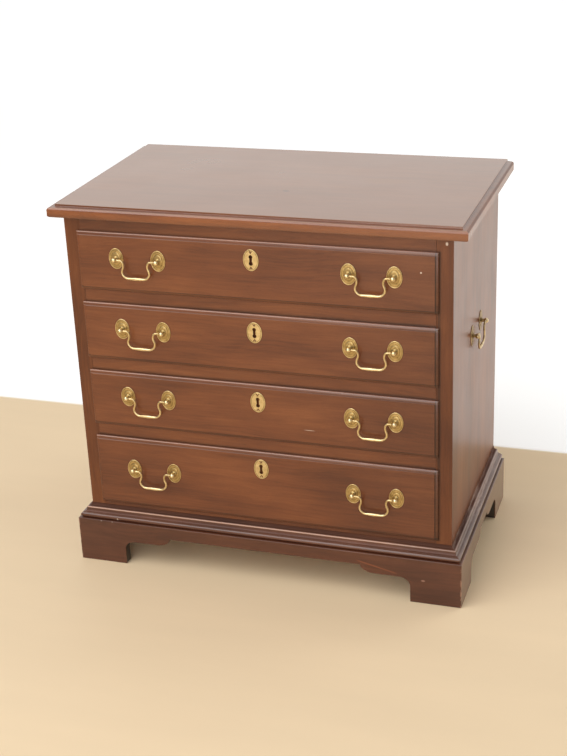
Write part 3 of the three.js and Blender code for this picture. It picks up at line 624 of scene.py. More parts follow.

# %% [markdown]
# The lacquer on the real top is glossy, and the noses of its ends have gone dull. Lighter wood
# along the front nose is a painted highlight with some wear in it, and a darker line along the
# noses of the ends is a painted dark reflection. The flat is tinted lighter, as painted light
# from above, and painted shade darkens the small step under it and the foot of the edge. Such
# marks could be painted by hand on an image. Masks that measure down from the face, and in
# from the ends, follow the moulding exactly instead.

# %% Dress the top
def top_marks(place, colour, shine):
    """Painted light and shade, a painted highlight on the worn front nose, duller ends, a dent, a
    haze.
    """
    x, y, z = coordinates(place)
    down = minus(top_high.z, z)
    half = math_node("ABSOLUTE", x)
    mitre = top_high.x + top_low.y
    end = times(remap(minus(top_high.x, half), 11.8, 11.0),
                remap(plus(half, y), mitre, mitre + 0.8))
    front = minus(1.0, end)
    # Painted light: the flat of the top is tinted lighter, as if lit more from above, and its
    # grain fainter.
    flat = remap(down, 0.7, 0.3, 0.0, 0.5)
    colour = tint(colour, flat, (0.28, 0.105, 0.03))
    below_ledge = remap(down, 4.1, 5.4, smooth=True)
    colour = shade(colour, below_ledge, (1.22, 1.12, 0.80))
    # Painted shade: the front edge darkens towards the underside.
    colour = shade(colour, remap(down, 13, 21.5), (0.80, 0.82, 0.84))
    # Painted highlight with some wear: a line of lighter wood along the front nose.
    worn_and_highlight = times(between(down, 4.6, 5.2, 0.4), 0.55, front)
    colour = tint(colour, worn_and_highlight, WORN_WOOD_AND_HIGHLIGHT)
    # Painted dark reflection: a darker line along the noses of the ends.
    line = times(between(down, 4.8, 7.4, 0.5), end)
    colour = shade(colour, line, 0.7)
    # Painted shade in the small step under the flat.
    colour = shade(colour, between(down, 0.6, 3.7, 0.3), (0.95, 0.90, 0.84))
    dent = spot(place, (16.9, -54.2, top_high.z), (8.5, 3.4, 3))
    colour = shade(colour, dent, 0.35)
    haze = spot(place, (178, 40, top_high.z), (60, 22, 4), 0.12)
    dull_nose = remap(down, 9.0, 4.5, 0.28, 0.9)
    gloss = times(remap(end, 0, 1, 1.0, dull_nose), remap(line, 0, 1, 1.0, 0.5))
    shine = plus(shine, times(line, 0.12), haze)
    return tint(colour, haze, PALE_CHIP), shine, gloss


top_wood = board_material("top board", MAHOGANY, "X", tone=0.03, coat=1.0, roughness=0.30,
                          relief=0.006, marks=top_marks)
settle(top, "case", top_wood, "top_board")
print("top board rides on the case")

# %% [markdown]
# ## The drawer fronts
#
# Each drawer has a lipped front: a board whose edge laps over the frame all round, with a
# thumbnail moulding, which is a quarter round and a small step. Behind the lip, a narrower
# part enters the opening. All of that grows from one slab, forwards from its front face and
# backwards from its back.

# %% Grow the four drawer fronts
LIP_PROUD, LIP_EDGE, LIP_OVOLO, LIP_FILLET = 7.2, 2.8, 6.2, 1.5
LIP_COVER, FIT_GAP, RUN_GAP, SIDE_GAP = 5, 0.3, 0.4, 1
thumbnail = quarter((LIP_OVOLO, LIP_PROUD - LIP_FILLET), (0, LIP_EDGE), steps=10)
thumbnail = [*reversed(thumbnail), (LIP_OVOLO, LIP_PROUD)]


def grow_front(number):
    """A drawer front in one piece, from the place and size of its solid."""
    low, high = corners(f"drawer_{number}_front")
    frame_face = low.y + LIP_PROUD
    lip_back = frame_face - FIT_GAP

    def ring(y, across, up):
        return (millimetres(low.x + across, y, low.z + up),
                millimetres(high.x - across, y, high.z - up))

    front = start_shape(f"drawer_{number}_lipped_front", ring(frame_face - LIP_EDGE, 0, 0)[0],
                        ring(lip_back, 0, 0)[1])
    grow(front, [ring(frame_face - proud, inward, inward) for inward, proud in thumbnail])
    body = (LIP_COVER + SIDE_GAP, LIP_COVER + RUN_GAP)
    grow(front, [ring(lip_back, 0, 0), ring(lip_back, *body), ring(high.y, *body)])
    return front


fronts = [grow_front(number) for number in DRAWERS]
print("drawer fronts:", [len(front.data.polygons) for front in fronts])

# %% [markdown]
# A front isn't solid: the handles' posts go through it, a groove behind holds the drawer's
# bottom, its ends are cut back where the drawer's sides lap into them, and under the
# escutcheon is the keyhole. These are cut with the Boolean modifier, which takes the shape of
# one object out of another.

# %% Cut the holes and grooves
POST_SPACING, STEM_HOLE = 80.4, 2.7
HANDLE_PLACES, HANDLE_RISE = (-214.825, 214.825), 8
ESCUTCHEON_DROP, KEY_POCKET = 33.4, (4.4, 10.5, 6)
BOX_WALL, FRONT_LAP = 12, 9
PAST = 5


def handle_height(number):
    """The height of a drawer's handle posts, a little above the middle of its front."""
    low, high = corners(f"drawer_{number}_front")
    return (low.z + high.z) / 2 + HANDLE_RISE


def front_cuts(number):
    """What comes out of a front: four post holes, a pocket for the key, a groove, two laps."""
    low, high = corners(f"drawer_{number}_front")
    cuts = []
    for middle, side in itertools.product(HANDLE_PLACES, (-1, 1)):
        bpy.ops.mesh.primitive_cylinder_add(
            vertices=16, radius=STEM_HOLE / 1000, depth=(high.y - low.y + 4 * PAST) / 1000,
            location=millimetres(middle + side * POST_SPACING / 2, (low.y + high.y) / 2,
                                 handle_height(number)),
            rotation=(math.radians(90), 0, 0))
        cuts.append(bpy.context.object)
    width, height, depth = KEY_POCKET
    key_height = high.z - ESCUTCHEON_DROP
    cuts.append(start_shape(
        "key pocket", millimetres(-width, low.y - PAST, key_height - height),
        millimetres(width, low.y + depth, key_height + height)))
    bottom_low, bottom_high = corners(f"drawer_{number}_bottom")
    cuts.append(start_shape(
        "groove", millimetres(low.x, bottom_low.y - FIT_GAP, bottom_low.z - FIT_GAP),
        millimetres(high.x, high.y + PAST, bottom_high.z + FIT_GAP)))
    inner = high.x - LIP_COVER - SIDE_GAP - BOX_WALL - FIT_GAP
    for side in (-1, 1):
        left, right = sorted((side * inner, side * (high.x + PAST)))
        cuts.append(start_shape("lap", millimetres(left, high.y - FRONT_LAP, low.z - PAST),
                                millimetres(right, high.y + PAST, high.z + PAST)))
    return cuts


for number, front in zip(DRAWERS, fronts):
    cut_away(front, front_cuts(number))
    soften(front, 0.00025)
print("fronts after the cuts:", [len(front.data.polygons) for front in fronts])

# %% [markdown]
# Painted shade darkens the moulding of each front where it faces away from the light, below
# and at the right, and painted highlights and a painted reflection lighten its upper edge and
# step. Each front is also painted darker towards its right end, and each lower front a little
# darker. The masks measure in from a front's edges, so one recipe serves all four fronts. The
# first also has a chip, and the third a scratch.

# %% Dress the drawer fronts
def front_marks(number):
    """Painted shade in the moulding and towards the right, painted highlights above, and two
    marks.
    """
    low, high = corners(f"drawer_{number}_front")

    def marks(place, colour, shine):
        x, _, z = coordinates(place)
        from_top = minus(high.z, z)
        # Painted shade: the lip and its step line darken at the bottom and right end, and the step
        # a little at the top.
        edges = ((minus(high.x, x), 0.72, 0.42), (minus(z, low.z), 0.70, 0.55),
                 (from_top, 1.0, 0.92))
        for distance, lip_shade, line in edges:
            colour = shade(colour, between(distance, -1, 5.4, 0.8), lip_shade)
            colour = shade(colour, between(distance, 4.9, 6.1, 0.4), line)
        # Painted highlight with some wear: lighter wood along the upper edge, fading towards the
        # right.
        rubbed_and_highlight = times(between(from_top, 0.3, 1.5, 0.4), remap(x, 60, 335, 0.42, 0.12))
        colour = tint(colour, rubbed_and_highlight, WORN_WOOD_AND_HIGHLIGHT)
        # Painted reflection: a pale tint in the step of the upper lip.
        fillet_reflection = times(between(from_top, 5.9, 6.9, 0.5), remap(x, -330, 335, 0.36, 0.10))
        colour = tint(colour, fillet_reflection, (0.40, 0.27, 0.24))
        # Painted shade: each front darker towards its right end.
        colour = shade(colour, remap(x, 60, 335), (0.80, 0.80, 0.86))
        if number == 1:
            colour = dab(place, colour, PALE_CHIP, (300.6, low.y, 633.8), (2, 9, 2))
        if number == 3:
            colour = dab(place, colour, PALE_CHIP, (95.5, low.y, 320.5), (13.5, 9, 0.9), 0.6)
        return colour, shine, remap(from_top, 5.9, 5.2, 0.45, 1.0)

    return marks


for number, front in zip(DRAWERS, fronts):
    # Painted shade: each lower front is a little darker, through its tone.
    wood = board_material(f"drawer front {number}", MAHOGANY, "X", tone=-0.008 * (number - 1),
                          coat=0.9, marks=front_marks(number))
    settle(front, f"drawer_{number}", wood, f"drawer_{number}_front")
print("drawer fronts dressed")

# %% [markdown]
# ## The case
#
# The sides of the case are plain boards, and their solids are already right. Each gets a copy
# with its edges taken off. The solid's mesh is loose triangles, so the copy is merged first,
# and its flat faces are joined up, or the bevel would find edges everywhere.

# %% Ease the edges of the case sides
def own_copy(source, name):
    """A copy with a mesh of its own, and without what the frame wrote on the source."""
    copy = source.copy()
    copy.data = source.data.copy()
    copy.name = copy.data.name = name
    copy.parent = None
    for key in list(copy.keys()):
        del copy[key]
    scene.collection.objects.link(copy)
    return copy


def eased_copy(node, width):
    """A copy of a solid with its edges taken off. The solid itself stays as it was."""
    copy = own_copy(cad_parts[node], f"{node}_eased")
    only(copy)
    bpy.ops.mesh.customdata_custom_splitnormals_clear()
    with editing(copy):
        bpy.ops.mesh.remove_doubles(threshold=CLOSE)
        bpy.ops.mesh.dissolve_limited(angle_limit=math.radians(1))
    soften(copy, width)
    return copy


SIDES = ("left", "right")
case_sides = [eased_copy(f"case_side_{side}", 0.0004) for side in SIDES]
print("case sides:", [len(board.data.polygons) for board in case_sides], "faces")

# %% [markdown]
# Only what shows is mahogany. A cabinet maker glues thin mahogany facings to rails and sides
# of cheaper pale wood, and the open drawers let that be seen. One material holds both woods,
# and a mask at the depth of the facing parts them. The rails keep their solids, which are
# already right, and only get a finish.

# %% Helpers for facings
CASE_FRONT, FACING, FADE = -204.9, -185, 0.3
LIP_RIGHT, LIPS_LOW, LIPS_HIGH, INNER_HALF = 330.5, 123, 670, 345.5


def dress(node, material):
    """Gives its finish to a solid that stays in sight."""
    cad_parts[node].data.materials[0] = material


def pale_behind(place, colour, *shares):
    """Pale wood behind the facing, with a grain of its own; shares may narrow it further."""
    depth = coordinates(place)[1]
    share = times(remap(depth, FACING - FADE, FACING + FADE), *shares)
    grain = add(place.id_data, "ShaderNodeGroup", {"Vector": place, "Tone": -0.02},
                node_tree=PALE_WOOD)
    return mix_colours(share, colour, grain.outputs["Color"])


print("facings end at y =", FACING, "mm")


# %% Marks on the case
def side_marks(place, colour, shine):
    """Pale wood inside, painted shadow and some wax beside the drawers, a chip on the right stile.
    """
    x, y, z = coordinates(place)
    # Painted shadow with some dark wax: a dark band on the stile beside each drawer's lip.
    wax_and_shade = times(between(x, LIP_RIGHT - 1.5, LIP_RIGHT + 1, 3.2),
                between(z, LIPS_LOW, LIPS_HIGH, 3))
    colour = shade(colour, wax_and_shade, 0.55)
    stile = remap(y, CASE_FRONT + 1.6, CASE_FRONT + 0.6)
    colour = shade(colour, stile, (0.90, 0.94, 1.0))
    colour = dab(place, colour, PALE_CHIP, (342.9, CASE_FRONT, 684.8), (3.0, 9, 4.2))
    half = math_node("ABSOLUTE", x)
    inside = remap(half, INNER_HALF + FADE, INNER_HALF - FADE)
    return pale_behind(place, colour, inside), shine


def rail_marks(drawer_below, wax_and_shade):
    """Painted shade and some wax on a rail just above the drawer under it; pale wood behind."""
    def marks(place, colour, shine):
        if drawer_below:
            lip_top = corners(f"drawer_{drawer_below}_front")[1].z
            height = coordinates(place)[2]
            # Painted shade with some dark wax: the rail darkens just above the lip below it.
            share = remap(height, lip_top + 5.5, lip_top + 0.5, 0.0, wax_and_shade)
            colour = shade(colour, share, 0.42)
        return pale_behind(place, colour), shine

    return marks


print("marks of the case ready")

# %% Dress the case
for side, board in zip(SIDES, case_sides):
    node = f"case_side_{side}"
    wood = board_material(f"case side {side}", MAHOGANY, "Z", tone=-0.01, coat=0.12,
                          roughness=0.34, marks=side_marks)
    settle(board, "case", wood, node)
rails = (("top_rail", 1, 0.5, -0.07), ("divider_1", 2, 1.0, -0.03),
         ("divider_2", 3, 1.0, -0.03), ("divider_3", 4, 1.0, -0.03),
         ("bottom_frame", 0, 0, -0.08))
for node, drawer_below, wax_and_shade, tone in rails:
    dress(node, board_material(node, MAHOGANY, "X", tone=tone,
                               marks=rail_marks(drawer_below, wax_and_shade)))
print("case sides and", len(rails), "rails dressed")

# %% [markdown]
# ## The bracket base
#
# The base is three boards mitred at the corners, with feet and brackets sawn from their lower
# edge. Each is drawn as a flat outline, as a template is drawn on a board: one corner is
# extruded from point to point. The outline is then filled and given its thickness, the upper
# arris is rounded, and the ends are sawn off at 45 degrees with Bisect.

# %% Helpers that draw and saw
def draw(name, points, depth):
    """Draws an outline corner by corner, fills it, and makes it as thick as the vector."""
    bpy.ops.object.select_all(action="DESELECT")
    bpy.ops.mesh.primitive_plane_add(size=0.001, location=points[0])
    obj = bpy.context.object
    obj.name = obj.data.name = name
    bpy.ops.object.transform_apply()
    with editing(obj):
        bpy.ops.mesh.select_mode(type="VERT")
        bpy.ops.mesh.merge(type="CENTER")
        for here, there in zip(points, points[1:]):
            bpy.ops.mesh.extrude_vertices_move(TRANSFORM_OT_translate={"value": there - here})
        bpy.ops.mesh.select_all(action="SELECT")
        bpy.ops.mesh.edge_face_add()
    with editing(obj):
        bpy.ops.mesh.extrude_region_move(TRANSFORM_OT_translate={"value": depth})
        bpy.ops.mesh.select_all(action="SELECT")
        bpy.ops.mesh.normals_make_consistent(inside=False)
    return obj


def saw(obj, point, outward):
    """Saws the object through a point and drops what lies outward of it."""
    with editing(obj):
        bpy.ops.mesh.bisect(plane_co=point, plane_no=outward, use_fill=True, clear_outer=True)


def mitre(front, right, half, face):
    """Saws both ends of a front piece, and the front end of a right one, at 45 degrees."""
    for side in (-1, 1):
        saw(front, millimetres(side * half, face, 0), (side, 1, 0))
    saw(right, millimetres(half, face, 0), (-1, -1, 0))


def mirrored(obj, name):
    """A copy on the other side of the chest. A mirror turns faces inwards, so they turn back."""
    copy = own_copy(obj, name)
    copy.data.transform(Matrix.Scale(-1, 4, (1, 0, 0)))
    with editing(copy):
        bpy.ops.mesh.normals_make_consistent(inside=False)
    return copy


print("drawing and sawing helpers ready")

# %% [markdown]
# A foot of the real base stands straight, curls in, and runs up to the arch over a small
# bracket. The same curve serves each end of the front and of the sides, so it is written once,
# as distances from the corner.

# %% Draw the boards of the base
CASE_HALF, CASE_BACK = 354.75, 215.1
BASE_HEIGHT, BASE_PROUD, BASE_BOARD, BASE_EASE = 115.5, 22.7, 20, 1.3
MOULDING_DROP = 25.2
BOARD_TOP = BASE_HEIGHT - MOULDING_DROP - FIT_GAP
BASE_HALF, BASE_FRONT = CASE_HALF + BASE_PROUD, CASE_FRONT - BASE_PROUD
FOOT, FOOT_STRAIGHT, FOOT_ROUND = 95, 32, 20
LEDGE_HEIGHT, LEDGE_LENGTH, BRACKET_ROUND, ARCH_HEIGHT = 49.5, 46, 28, 65


def board_outline(start, end):
    """A base board's outline from one end to the other, as (place, height)."""
    hollow = quarter((FOOT, FOOT_STRAIGHT), (FOOT + FOOT_ROUND, LEDGE_HEIGHT), hollow=True)
    ledge_end = FOOT + FOOT_ROUND + LEDGE_LENGTH
    bracket = quarter((ledge_end, LEDGE_HEIGHT), (ledge_end + BRACKET_ROUND, ARCH_HEIGHT))
    foot = [(0, 0), (FOOT, 0), *hollow, *bracket]
    near = [(start + along, height) for along, height in foot]
    far = [(end - along, height) for along, height in reversed(foot)]
    return [*near, *far, (end, BOARD_TOP), (start, BOARD_TOP)]


def base_board(name, outline, depth):
    """A board of the base; its upper arris, the outline's last line, is rounded."""
    board = draw(name, outline, depth)
    arris = (outline[-1] + outline[-2]) / 2
    with editing(board):
        pick(board, "EDGE", lambda e: ((e.verts[0].co + e.verts[1].co) / 2 - arris).length < CLOSE)
        bpy.ops.mesh.bevel(offset=BASE_EASE / 1000, segments=6, affect="EDGES", profile=0.5)
    return board


base_front = base_board(
    "base_front_board",
    [millimetres(x, BASE_FRONT, z) for x, z in board_outline(-BASE_HALF, BASE_HALF)],
    millimetres(0, BASE_BOARD, 0))
base_right = base_board(
    "base_right_board",
    [millimetres(BASE_HALF, y, z) for y, z in board_outline(BASE_FRONT, CASE_BACK)],
    millimetres(-BASE_BOARD, 0, 0))
mitre(base_front, base_right, BASE_HALF, BASE_FRONT)
base_left = mirrored(base_right, "base_left_board")
for board in (base_front, base_left, base_right):
    soften(board, 0.0008)
print("base boards:", len(base_front.data.polygons), len(base_right.data.polygons), "faces")

# %% [markdown]
# The base is of redder wood, and takes the knocks of shoes and brooms. Its corners are chipped
# by noise that is let through only near the corner. The sawn edges and inner faces are dark
# with painted shade.

# %% Marks on the base
SCRAPE = ((181, 73.5), (260, 55.2))


def knocked(place, colour, corner):
    """Small knocks along a corner, down to lighter wood."""
    knocks = remap(noise(place, (150.0, 150.0, 120.0), 2.0), 0.53, 0.62, 0.0, 0.5)
    return tint(colour, times(knocks, corner), WORN_WOOD_AND_HIGHLIGHT)


def painted_shade_behind(colour, height, *masks):
    """Painted shade, nearly black, where all masks are 1, below the rounded arris."""
    inside = times(*masks, remap(height, BOARD_TOP - 0.6, BOARD_TOP - 2.0))
    return tint(colour, inside, PAINTED_SHADE_INSIDE)


def base_front_marks(place, colour, shine):
    """Two chips, a dent, a long scrape, darker feet, knocked corners and painted shade on sawn
    faces.
    """
    x, y, z = coordinates(place)
    for middle, strength in ((-329, 0.5), (-306, 0.4)):
        colour = dab(place, colour, PALE_CHIP, (middle, BASE_FRONT, 88.6), (2.4, 6, 1.4), strength)
    colour = dab(place, colour, WORN_WOOD_AND_HIGHLIGHT, (306.8, BASE_FRONT, 47.3), (5, 6, 2.4), 0.7)
    (left, left_height), (right, right_height) = SCRAPE
    slope = (right_height - left_height) / (right - left)
    line = plus(times(x, slope), left_height - left * slope)
    scrape = times(between(minus(z, line), -0.7, 0.7, 1.2),
                   between(x, left + 7, right - 8, 9), 0.45)
    colour = tint(colour, scrape, (0.32, 0.085, 0.03))
    half = math_node("ABSOLUTE", x)
    colour = shade(colour, remap(half, 215, 290), (0.80, 0.78, 0.84))
    colour = knocked(place, colour, remap(half, BASE_HALF - 3.0, BASE_HALF - 1.0))
    behind = remap(y, BASE_FRONT + 1.0, BASE_FRONT + 2.4)
    return painted_shade_behind(colour, z, behind), shine


def base_side_marks(place, colour, shine):
    """A knocked front corner, and painted shade on the sawn edges and inner face."""
    x, y, z = coordinates(place)
    colour = knocked(place, colour, remap(y, BASE_FRONT + 5, BASE_FRONT + 2))
    half = math_node("ABSOLUTE", x)
    behind = remap(half, BASE_HALF - 1.0, BASE_HALF - 2.4)
    before_end = remap(y, CASE_BACK - 0.5, CASE_BACK - 1.5)
    return painted_shade_behind(colour, z, behind, before_end), shine


print("marks of the base ready")

# %% Dress the boards of the base
for board, node, along, coat, marks in (
        (base_front, "base_front", "X", 0.4, base_front_marks),
        (base_left, "base_left", "Y", 0.8, base_side_marks),
        (base_right, "base_right", "Y", 0.8, base_side_marks)):
    wood = board_material(node, RED_MAHOGANY, along, coat=coat, marks=marks)
    settle(board, "case", wood, node)
print("base boards dressed")

# %% [markdown]
# Inside each side board, a cleat of plain wood carries the case. It is a square stick with its
# edges taken off.

# %% Make the cleats
CLEAT_TOP, CLEAT_HEIGHT, CLEAT_WIDTH = 93.4, 22, 24
outer = BASE_HALF - BASE_BOARD
for side, sign in zip(SIDES, (-1, 1)):
    name = f"base_cleat_{side}"
    left, right = sorted((sign * (outer - CLEAT_WIDTH), sign * outer))
    cleat = start_shape(
        name, millimetres(left, BASE_FRONT + BASE_BOARD + FIT_GAP, CLEAT_TOP - CLEAT_HEIGHT),
        millimetres(right, CASE_BACK - BASE_BOARD - FIT_GAP, CLEAT_TOP))
    soften(cleat, 0.0005)
    settle(cleat, "case",
           board_material(name, PALE_WOOD, "Y", coat=0, roughness=0.7))
print("cleats reach up to", CLEAT_TOP, "mm")

# %% [markdown]
# ## The moulding on the base
#
# A separate strip runs round the top of the base: from the case outwards, a deep hollow with a
# rounded nose, a second hollow, and a round bead that rests on the boards. Its section is drawn
# once for the front and once for the side, run along as a moulding plane runs along a board,
# and mitred at the corners. Behind, a rabbet takes the foot of the case.

# %% Run and mitre the moulding
BEAD_RADIUS, BEAD_OUT, BEAD_STEPS = 4.6, 14.2, 16
HOLLOW_END, RABBET, RUN_PAST = 15.3, (3.2, 21), 30
upper_hollow = quarter((1.1, 2.4), (4.0, 5.9), hollow=True, steps=5)
nose = quarter((6.0, 6.1), (8.9, 8.9), steps=7)
lower_hollow = quarter((8.9, 8.9), (12.9, HOLLOW_END), hollow=True)
bead_top = MOULDING_DROP - 2 * BEAD_RADIUS
turns = [math.pi * i / BEAD_STEPS for i in range(BEAD_STEPS + 1)]
bead = [(BEAD_OUT + BEAD_RADIUS * math.sin(turn),
         bead_top + BEAD_RADIUS * (1 - math.cos(turn))) for turn in turns]
section = [(FIT_GAP, 0), (0.7, 0), *upper_hollow, *nose, *lower_hollow[1:],
           (BEAD_OUT, HOLLOW_END), *bead, (RABBET[0], MOULDING_DROP), RABBET,
           (FIT_GAP, RABBET[1])]
section = [(out, BASE_HEIGHT - drop) for out, drop in section]

far_left, start = -CASE_HALF - RUN_PAST, CASE_FRONT - RUN_PAST
front_run = draw("base_moulding_front",
                 [millimetres(far_left, CASE_FRONT - out, z) for out, z in section],
                 millimetres(-2 * far_left, 0, 0))
right_run = draw("base_moulding_right",
                 [millimetres(CASE_HALF + out, start, z) for out, z in section],
                 millimetres(0, CASE_BACK - start, 0))
mitre(front_run, right_run, CASE_HALF, CASE_FRONT)
left_run = mirrored(right_run, "base_moulding_left")
for run in (front_run, left_run, right_run):
    soften(run, 0.0002)
print("moulding:", len(front_run.data.polygons), "faces in front")

# %% [markdown]
# The nose of the strip is tinted pale, partly as wear and partly as a painted highlight, and
# dull wax fills its hollows, with painted shade in the upper one. On the right side, dry scuffs
# lie over all of it. They come from two noises: a fine one for the scuffs themselves, and a
# coarse one that says where they are.

# %% Dress the moulding
def moulding_marks(wear_and_highlight, scuffs, wax_and_shade):
    """Wear and painted highlight on the nose, scuffs of some strength, painted shade above, so
    much dull wax below.
    """
    def marks(place, colour, shine):
        x, _, z = coordinates(place)
        down = minus(BASE_HEIGHT, z)
        # Painted shade: the upper hollow is darkened.
        upper = remap(down, 6.5, 6.0, smooth=True)
        colour = shade(colour, upper, 0.72)
        dull = plus(upper, times(between(down, 9.9, 15.0, 0.4), wax_and_shade))
        shine = plus(shine, times(dull, 0.45))
        # Painted highlight with some wear: the nose is tinted lighter, less towards the right end.
        worn_and_highlight = times(between(down, 6.6, 7.9, 0.7), remap(x, 240, 350, wear_and_highlight, wear_and_highlight * 0.4))
        colour = tint(colour, worn_and_highlight, WORN_WOOD_AND_HIGHLIGHT)
        colour = dab(place, colour, PALE_CHIP, (-296, CASE_FRONT - 17, 93), (2.2, 6, 4))
        if scuffs:
            rubbed_and_highlight = noise(place, (190.0, 26.0, 120.0), 3.0, 0.62)
            patches = noise(place, (20.0, 7.0, 20.0), 2.0)
            amount = times(remap(rubbed_and_highlight, 0.42, 0.70, smooth=True),
                           remap(patches, 0.40, 0.62, 0.12, scuffs))
            colour = tint(colour, amount, (0.36, 0.26, 0.215))
            shine = plus(shine, times(amount, 0.3))
        return colour, shine, minus(1.0, dull)

    return marks


for run, along, wear_and_highlight, scuffs, wax_and_shade in ((front_run, "X", 0.8, 0, 0.7),
                                      (left_run, "Y", 0.4, 0.25, 0.3),
                                      (right_run, "Y", 0.35, 0.7, 0.1)):
    wood = board_material(run.name, RED_MAHOGANY, along, coat=0.8, roughness=0.3,
                          relief=0.005, marks=moulding_marks(wear_and_highlight, scuffs, wax_and_shade))
    settle(run, "case", wood, "base_moulding")
print("moulding dressed in three runs")

# %% [markdown]
# ## Inside and behind
#
# The back, the drawer boxes and the drawer bottoms are plain pale wood, with no finish on it.
# A drawer's sides are dovetailed into its front, and where they lap, the front's red pins show
# between the pale tails. The joint is flush, so a mask is enough to draw it.

# %% Dress the plain wood
TAIL_HEIGHT, PIN_FRONT, PIN_BACK = 30, 1.6, 4.0


def bare_wood(name, along, tone=0.0, marks=None):
    """Pale wood without lacquer."""
    return board_material(name, PALE_WOOD, along, tone=tone, coat=0, roughness=0.72, marks=marks)


def dovetails(number):
    """The front's red pins between the pale tails, where a drawer's sides lap into it."""
    low, high = corners(f"drawer_{number}_box")
    tails = max(2, round((high.z - low.z) / TAIL_HEIGHT))
    pitch = (high.z - low.z) / tails

    def marks(place, colour, shine):
        _, y, z = coordinates(place)
        turns = times(minus(z, low.z), 1 / pitch)
        from_pin = math_node("PINGPONG", turns, 0.5)
        pin_half = remap(y, low.y, low.y + FRONT_LAP, PIN_FRONT / pitch, PIN_BACK / pitch)
        share = times(math_node("LESS_THAN", from_pin, pin_half),
                      math_node("LESS_THAN", y, low.y + FRONT_LAP))
        return tint(colour, share, (0.17, 0.055, 0.02)), shine

    return marks


dress("back_panel", bare_wood("back panel", "Z", -0.04))
dress("base_back", board_material("base back", RED_MAHOGANY, "X", tone=-0.10, coat=0))
for number in DRAWERS:
    for part, along, marks in (("box", "Y", dovetails(number)), ("bottom", "X", None)):
        node = f"drawer_{number}_{part}"
        dress(node, bare_wood(node, along, marks=marks))
print("plain wood dressed")

# %% [markdown]
# ## Brass
#
# Old brass is bright where hands polish it and brown where they don't reach. It is a metal, so
# its colour is the colour of its reflections. How far each point is polished is painted on the
# mesh as an attribute, which goes wherever the handle goes, and the material turns it into tone.

# %% The brass
def paint(obj, rule):
    """Gives each point of a mesh its polish, from 0 in a dirty corner to 1 where hands rub."""
    polish = obj.data.attributes.new("polish", "FLOAT", "POINT")
    for i, vertex in enumerate(obj.data.vertices):
        polish.data[i].value = rule(vertex.co * 1000)


def brass_material(name, colours, roughness):
    """Worn brass: its tone follows the polish painted on the mesh, with soft clouds in it."""
    material, tree, shader = new_material(name)
    place = add(tree, "ShaderNodeTexCoord").outputs["Object"]
    clouds = remap(noise(place, (120.0, 120.0, 120.0), 3.0, 0.6), 0.3, 0.7, -0.16, 0.16)
    polish = add(tree, "ShaderNodeAttribute", attribute_name="polish").outputs["Fac"]
    level = math_node("ADD", polish, clouds, clamp=True)
    bump = add(tree, "ShaderNodeBump", {
        "Strength": 0.04, "Distance": 0.0002,
        "Height": noise(place, (700.0, 700.0, 700.0), 2.0)})
    set_inputs(tree, shader, {
        "Base Color": three_tones(level, colours), "Metallic": 1.0,
        "Roughness": remap(level, 0, 1, roughness + 0.16, roughness - 0.04),
        "Normal": bump.outputs[0]})
    return material


BRASS = brass_material("brass", ((0.17, 0.105, 0.042), (0.52, 0.365, 0.150),
                                 (0.86, 0.70, 0.400)), 0.32)
# Painted shade: the side handles get a darker copy of the brass.
SHADED_SIDE_BRASS = brass_material("shaded side brass", ((0.10, 0.060, 0.026), (0.30, 0.205, 0.092),
                                           (0.74, 0.59, 0.350)), 0.34)
print("brass ready")

# %% [markdown]
# ## The handles
#
# A handle has two oval plates, each with a post that ends in a ball, and a bail that hangs
# between the balls. A post and its plate are grown from one disc: oval rings first, then round
# ones, like a turning. It is modelled once, lying flat, and copied to its twenty places.

# %% Grow one plate with its post
PLATE_WIDTH, PLATE_HEIGHT = 28, 39
PIVOT_REACH, BALL_RADIUS, BALL_STEPS = 10.5, 4.9, 10
NECK_RADIUS, PLATE_EDGE = 3.0, 0.8


def centred(width, height, z):
    """A ring round the Z axis, of a width and height in millimetres."""
    return (millimetres(-width / 2, -height / 2, z), millimetres(width / 2, height / 2, z))


def oval(share, z):
    """A ring of the plate's own shape, at a share of its size."""
    return centred(share * PLATE_WIDTH, share * PLATE_HEIGHT, z)


def round_ring(radius, z):
    """A round ring of a radius in millimetres."""
    return centred(2 * radius, 2 * radius, z)


plate_rings = [(1.0, PLATE_EDGE), (0.985, 1.15), (0.96, 1.35), (0.93, 1.35), (0.905, 1.2),
               (0.89, 1.0), (0.86, 1.0), (0.84, 1.15), (0.72, 1.3), (0.66, 1.3),
               (0.64, 1.15), (0.62, 1.2), (0.58, 1.6), (0.52, 1.9), (0.47, 2.05)]
post_rings = [(5.6, 2.2), (5.2, 2.7), (4.6, 3.0), (3.9, 3.4), (3.2, 4.0), (2.9, 4.8),
              (NECK_RADIUS, 6.0)]
ball_start = math.asin(NECK_RADIUS / BALL_RADIUS)
for i in range(BALL_STEPS):
    angle = ball_start + (math.pi - 0.12 - ball_start) * i / (BALL_STEPS - 1)
    post_rings.append((BALL_RADIUS * math.sin(angle), PIVOT_REACH - BALL_RADIUS * math.cos(angle)))
post_rings.append((0.2, PIVOT_REACH + BALL_RADIUS))

post = start_shape("handle_post", oval(1, FIT_GAP)[0], oval(1, PLATE_EDGE)[1], sides=40)
grow(post, [*(oval(*ring) for ring in plate_rings), *(round_ring(*ring) for ring in post_rings)])
print("post and plate:", len(post.data.polygons), "faces")

# %% [markdown]
# Behind the plate, the post goes through the wood as a thin stem and is held by a nut. The
# drawer fronts are thicker than the case sides, so there are two lengths of stem.

# %% Grow the stem and add the nut
STEM_RADIUS, STEM_END = 2.4, 0.8
NUT_RADIUS, NUT_HEIGHT = 5, 3.5
CASE_SIDE = 19


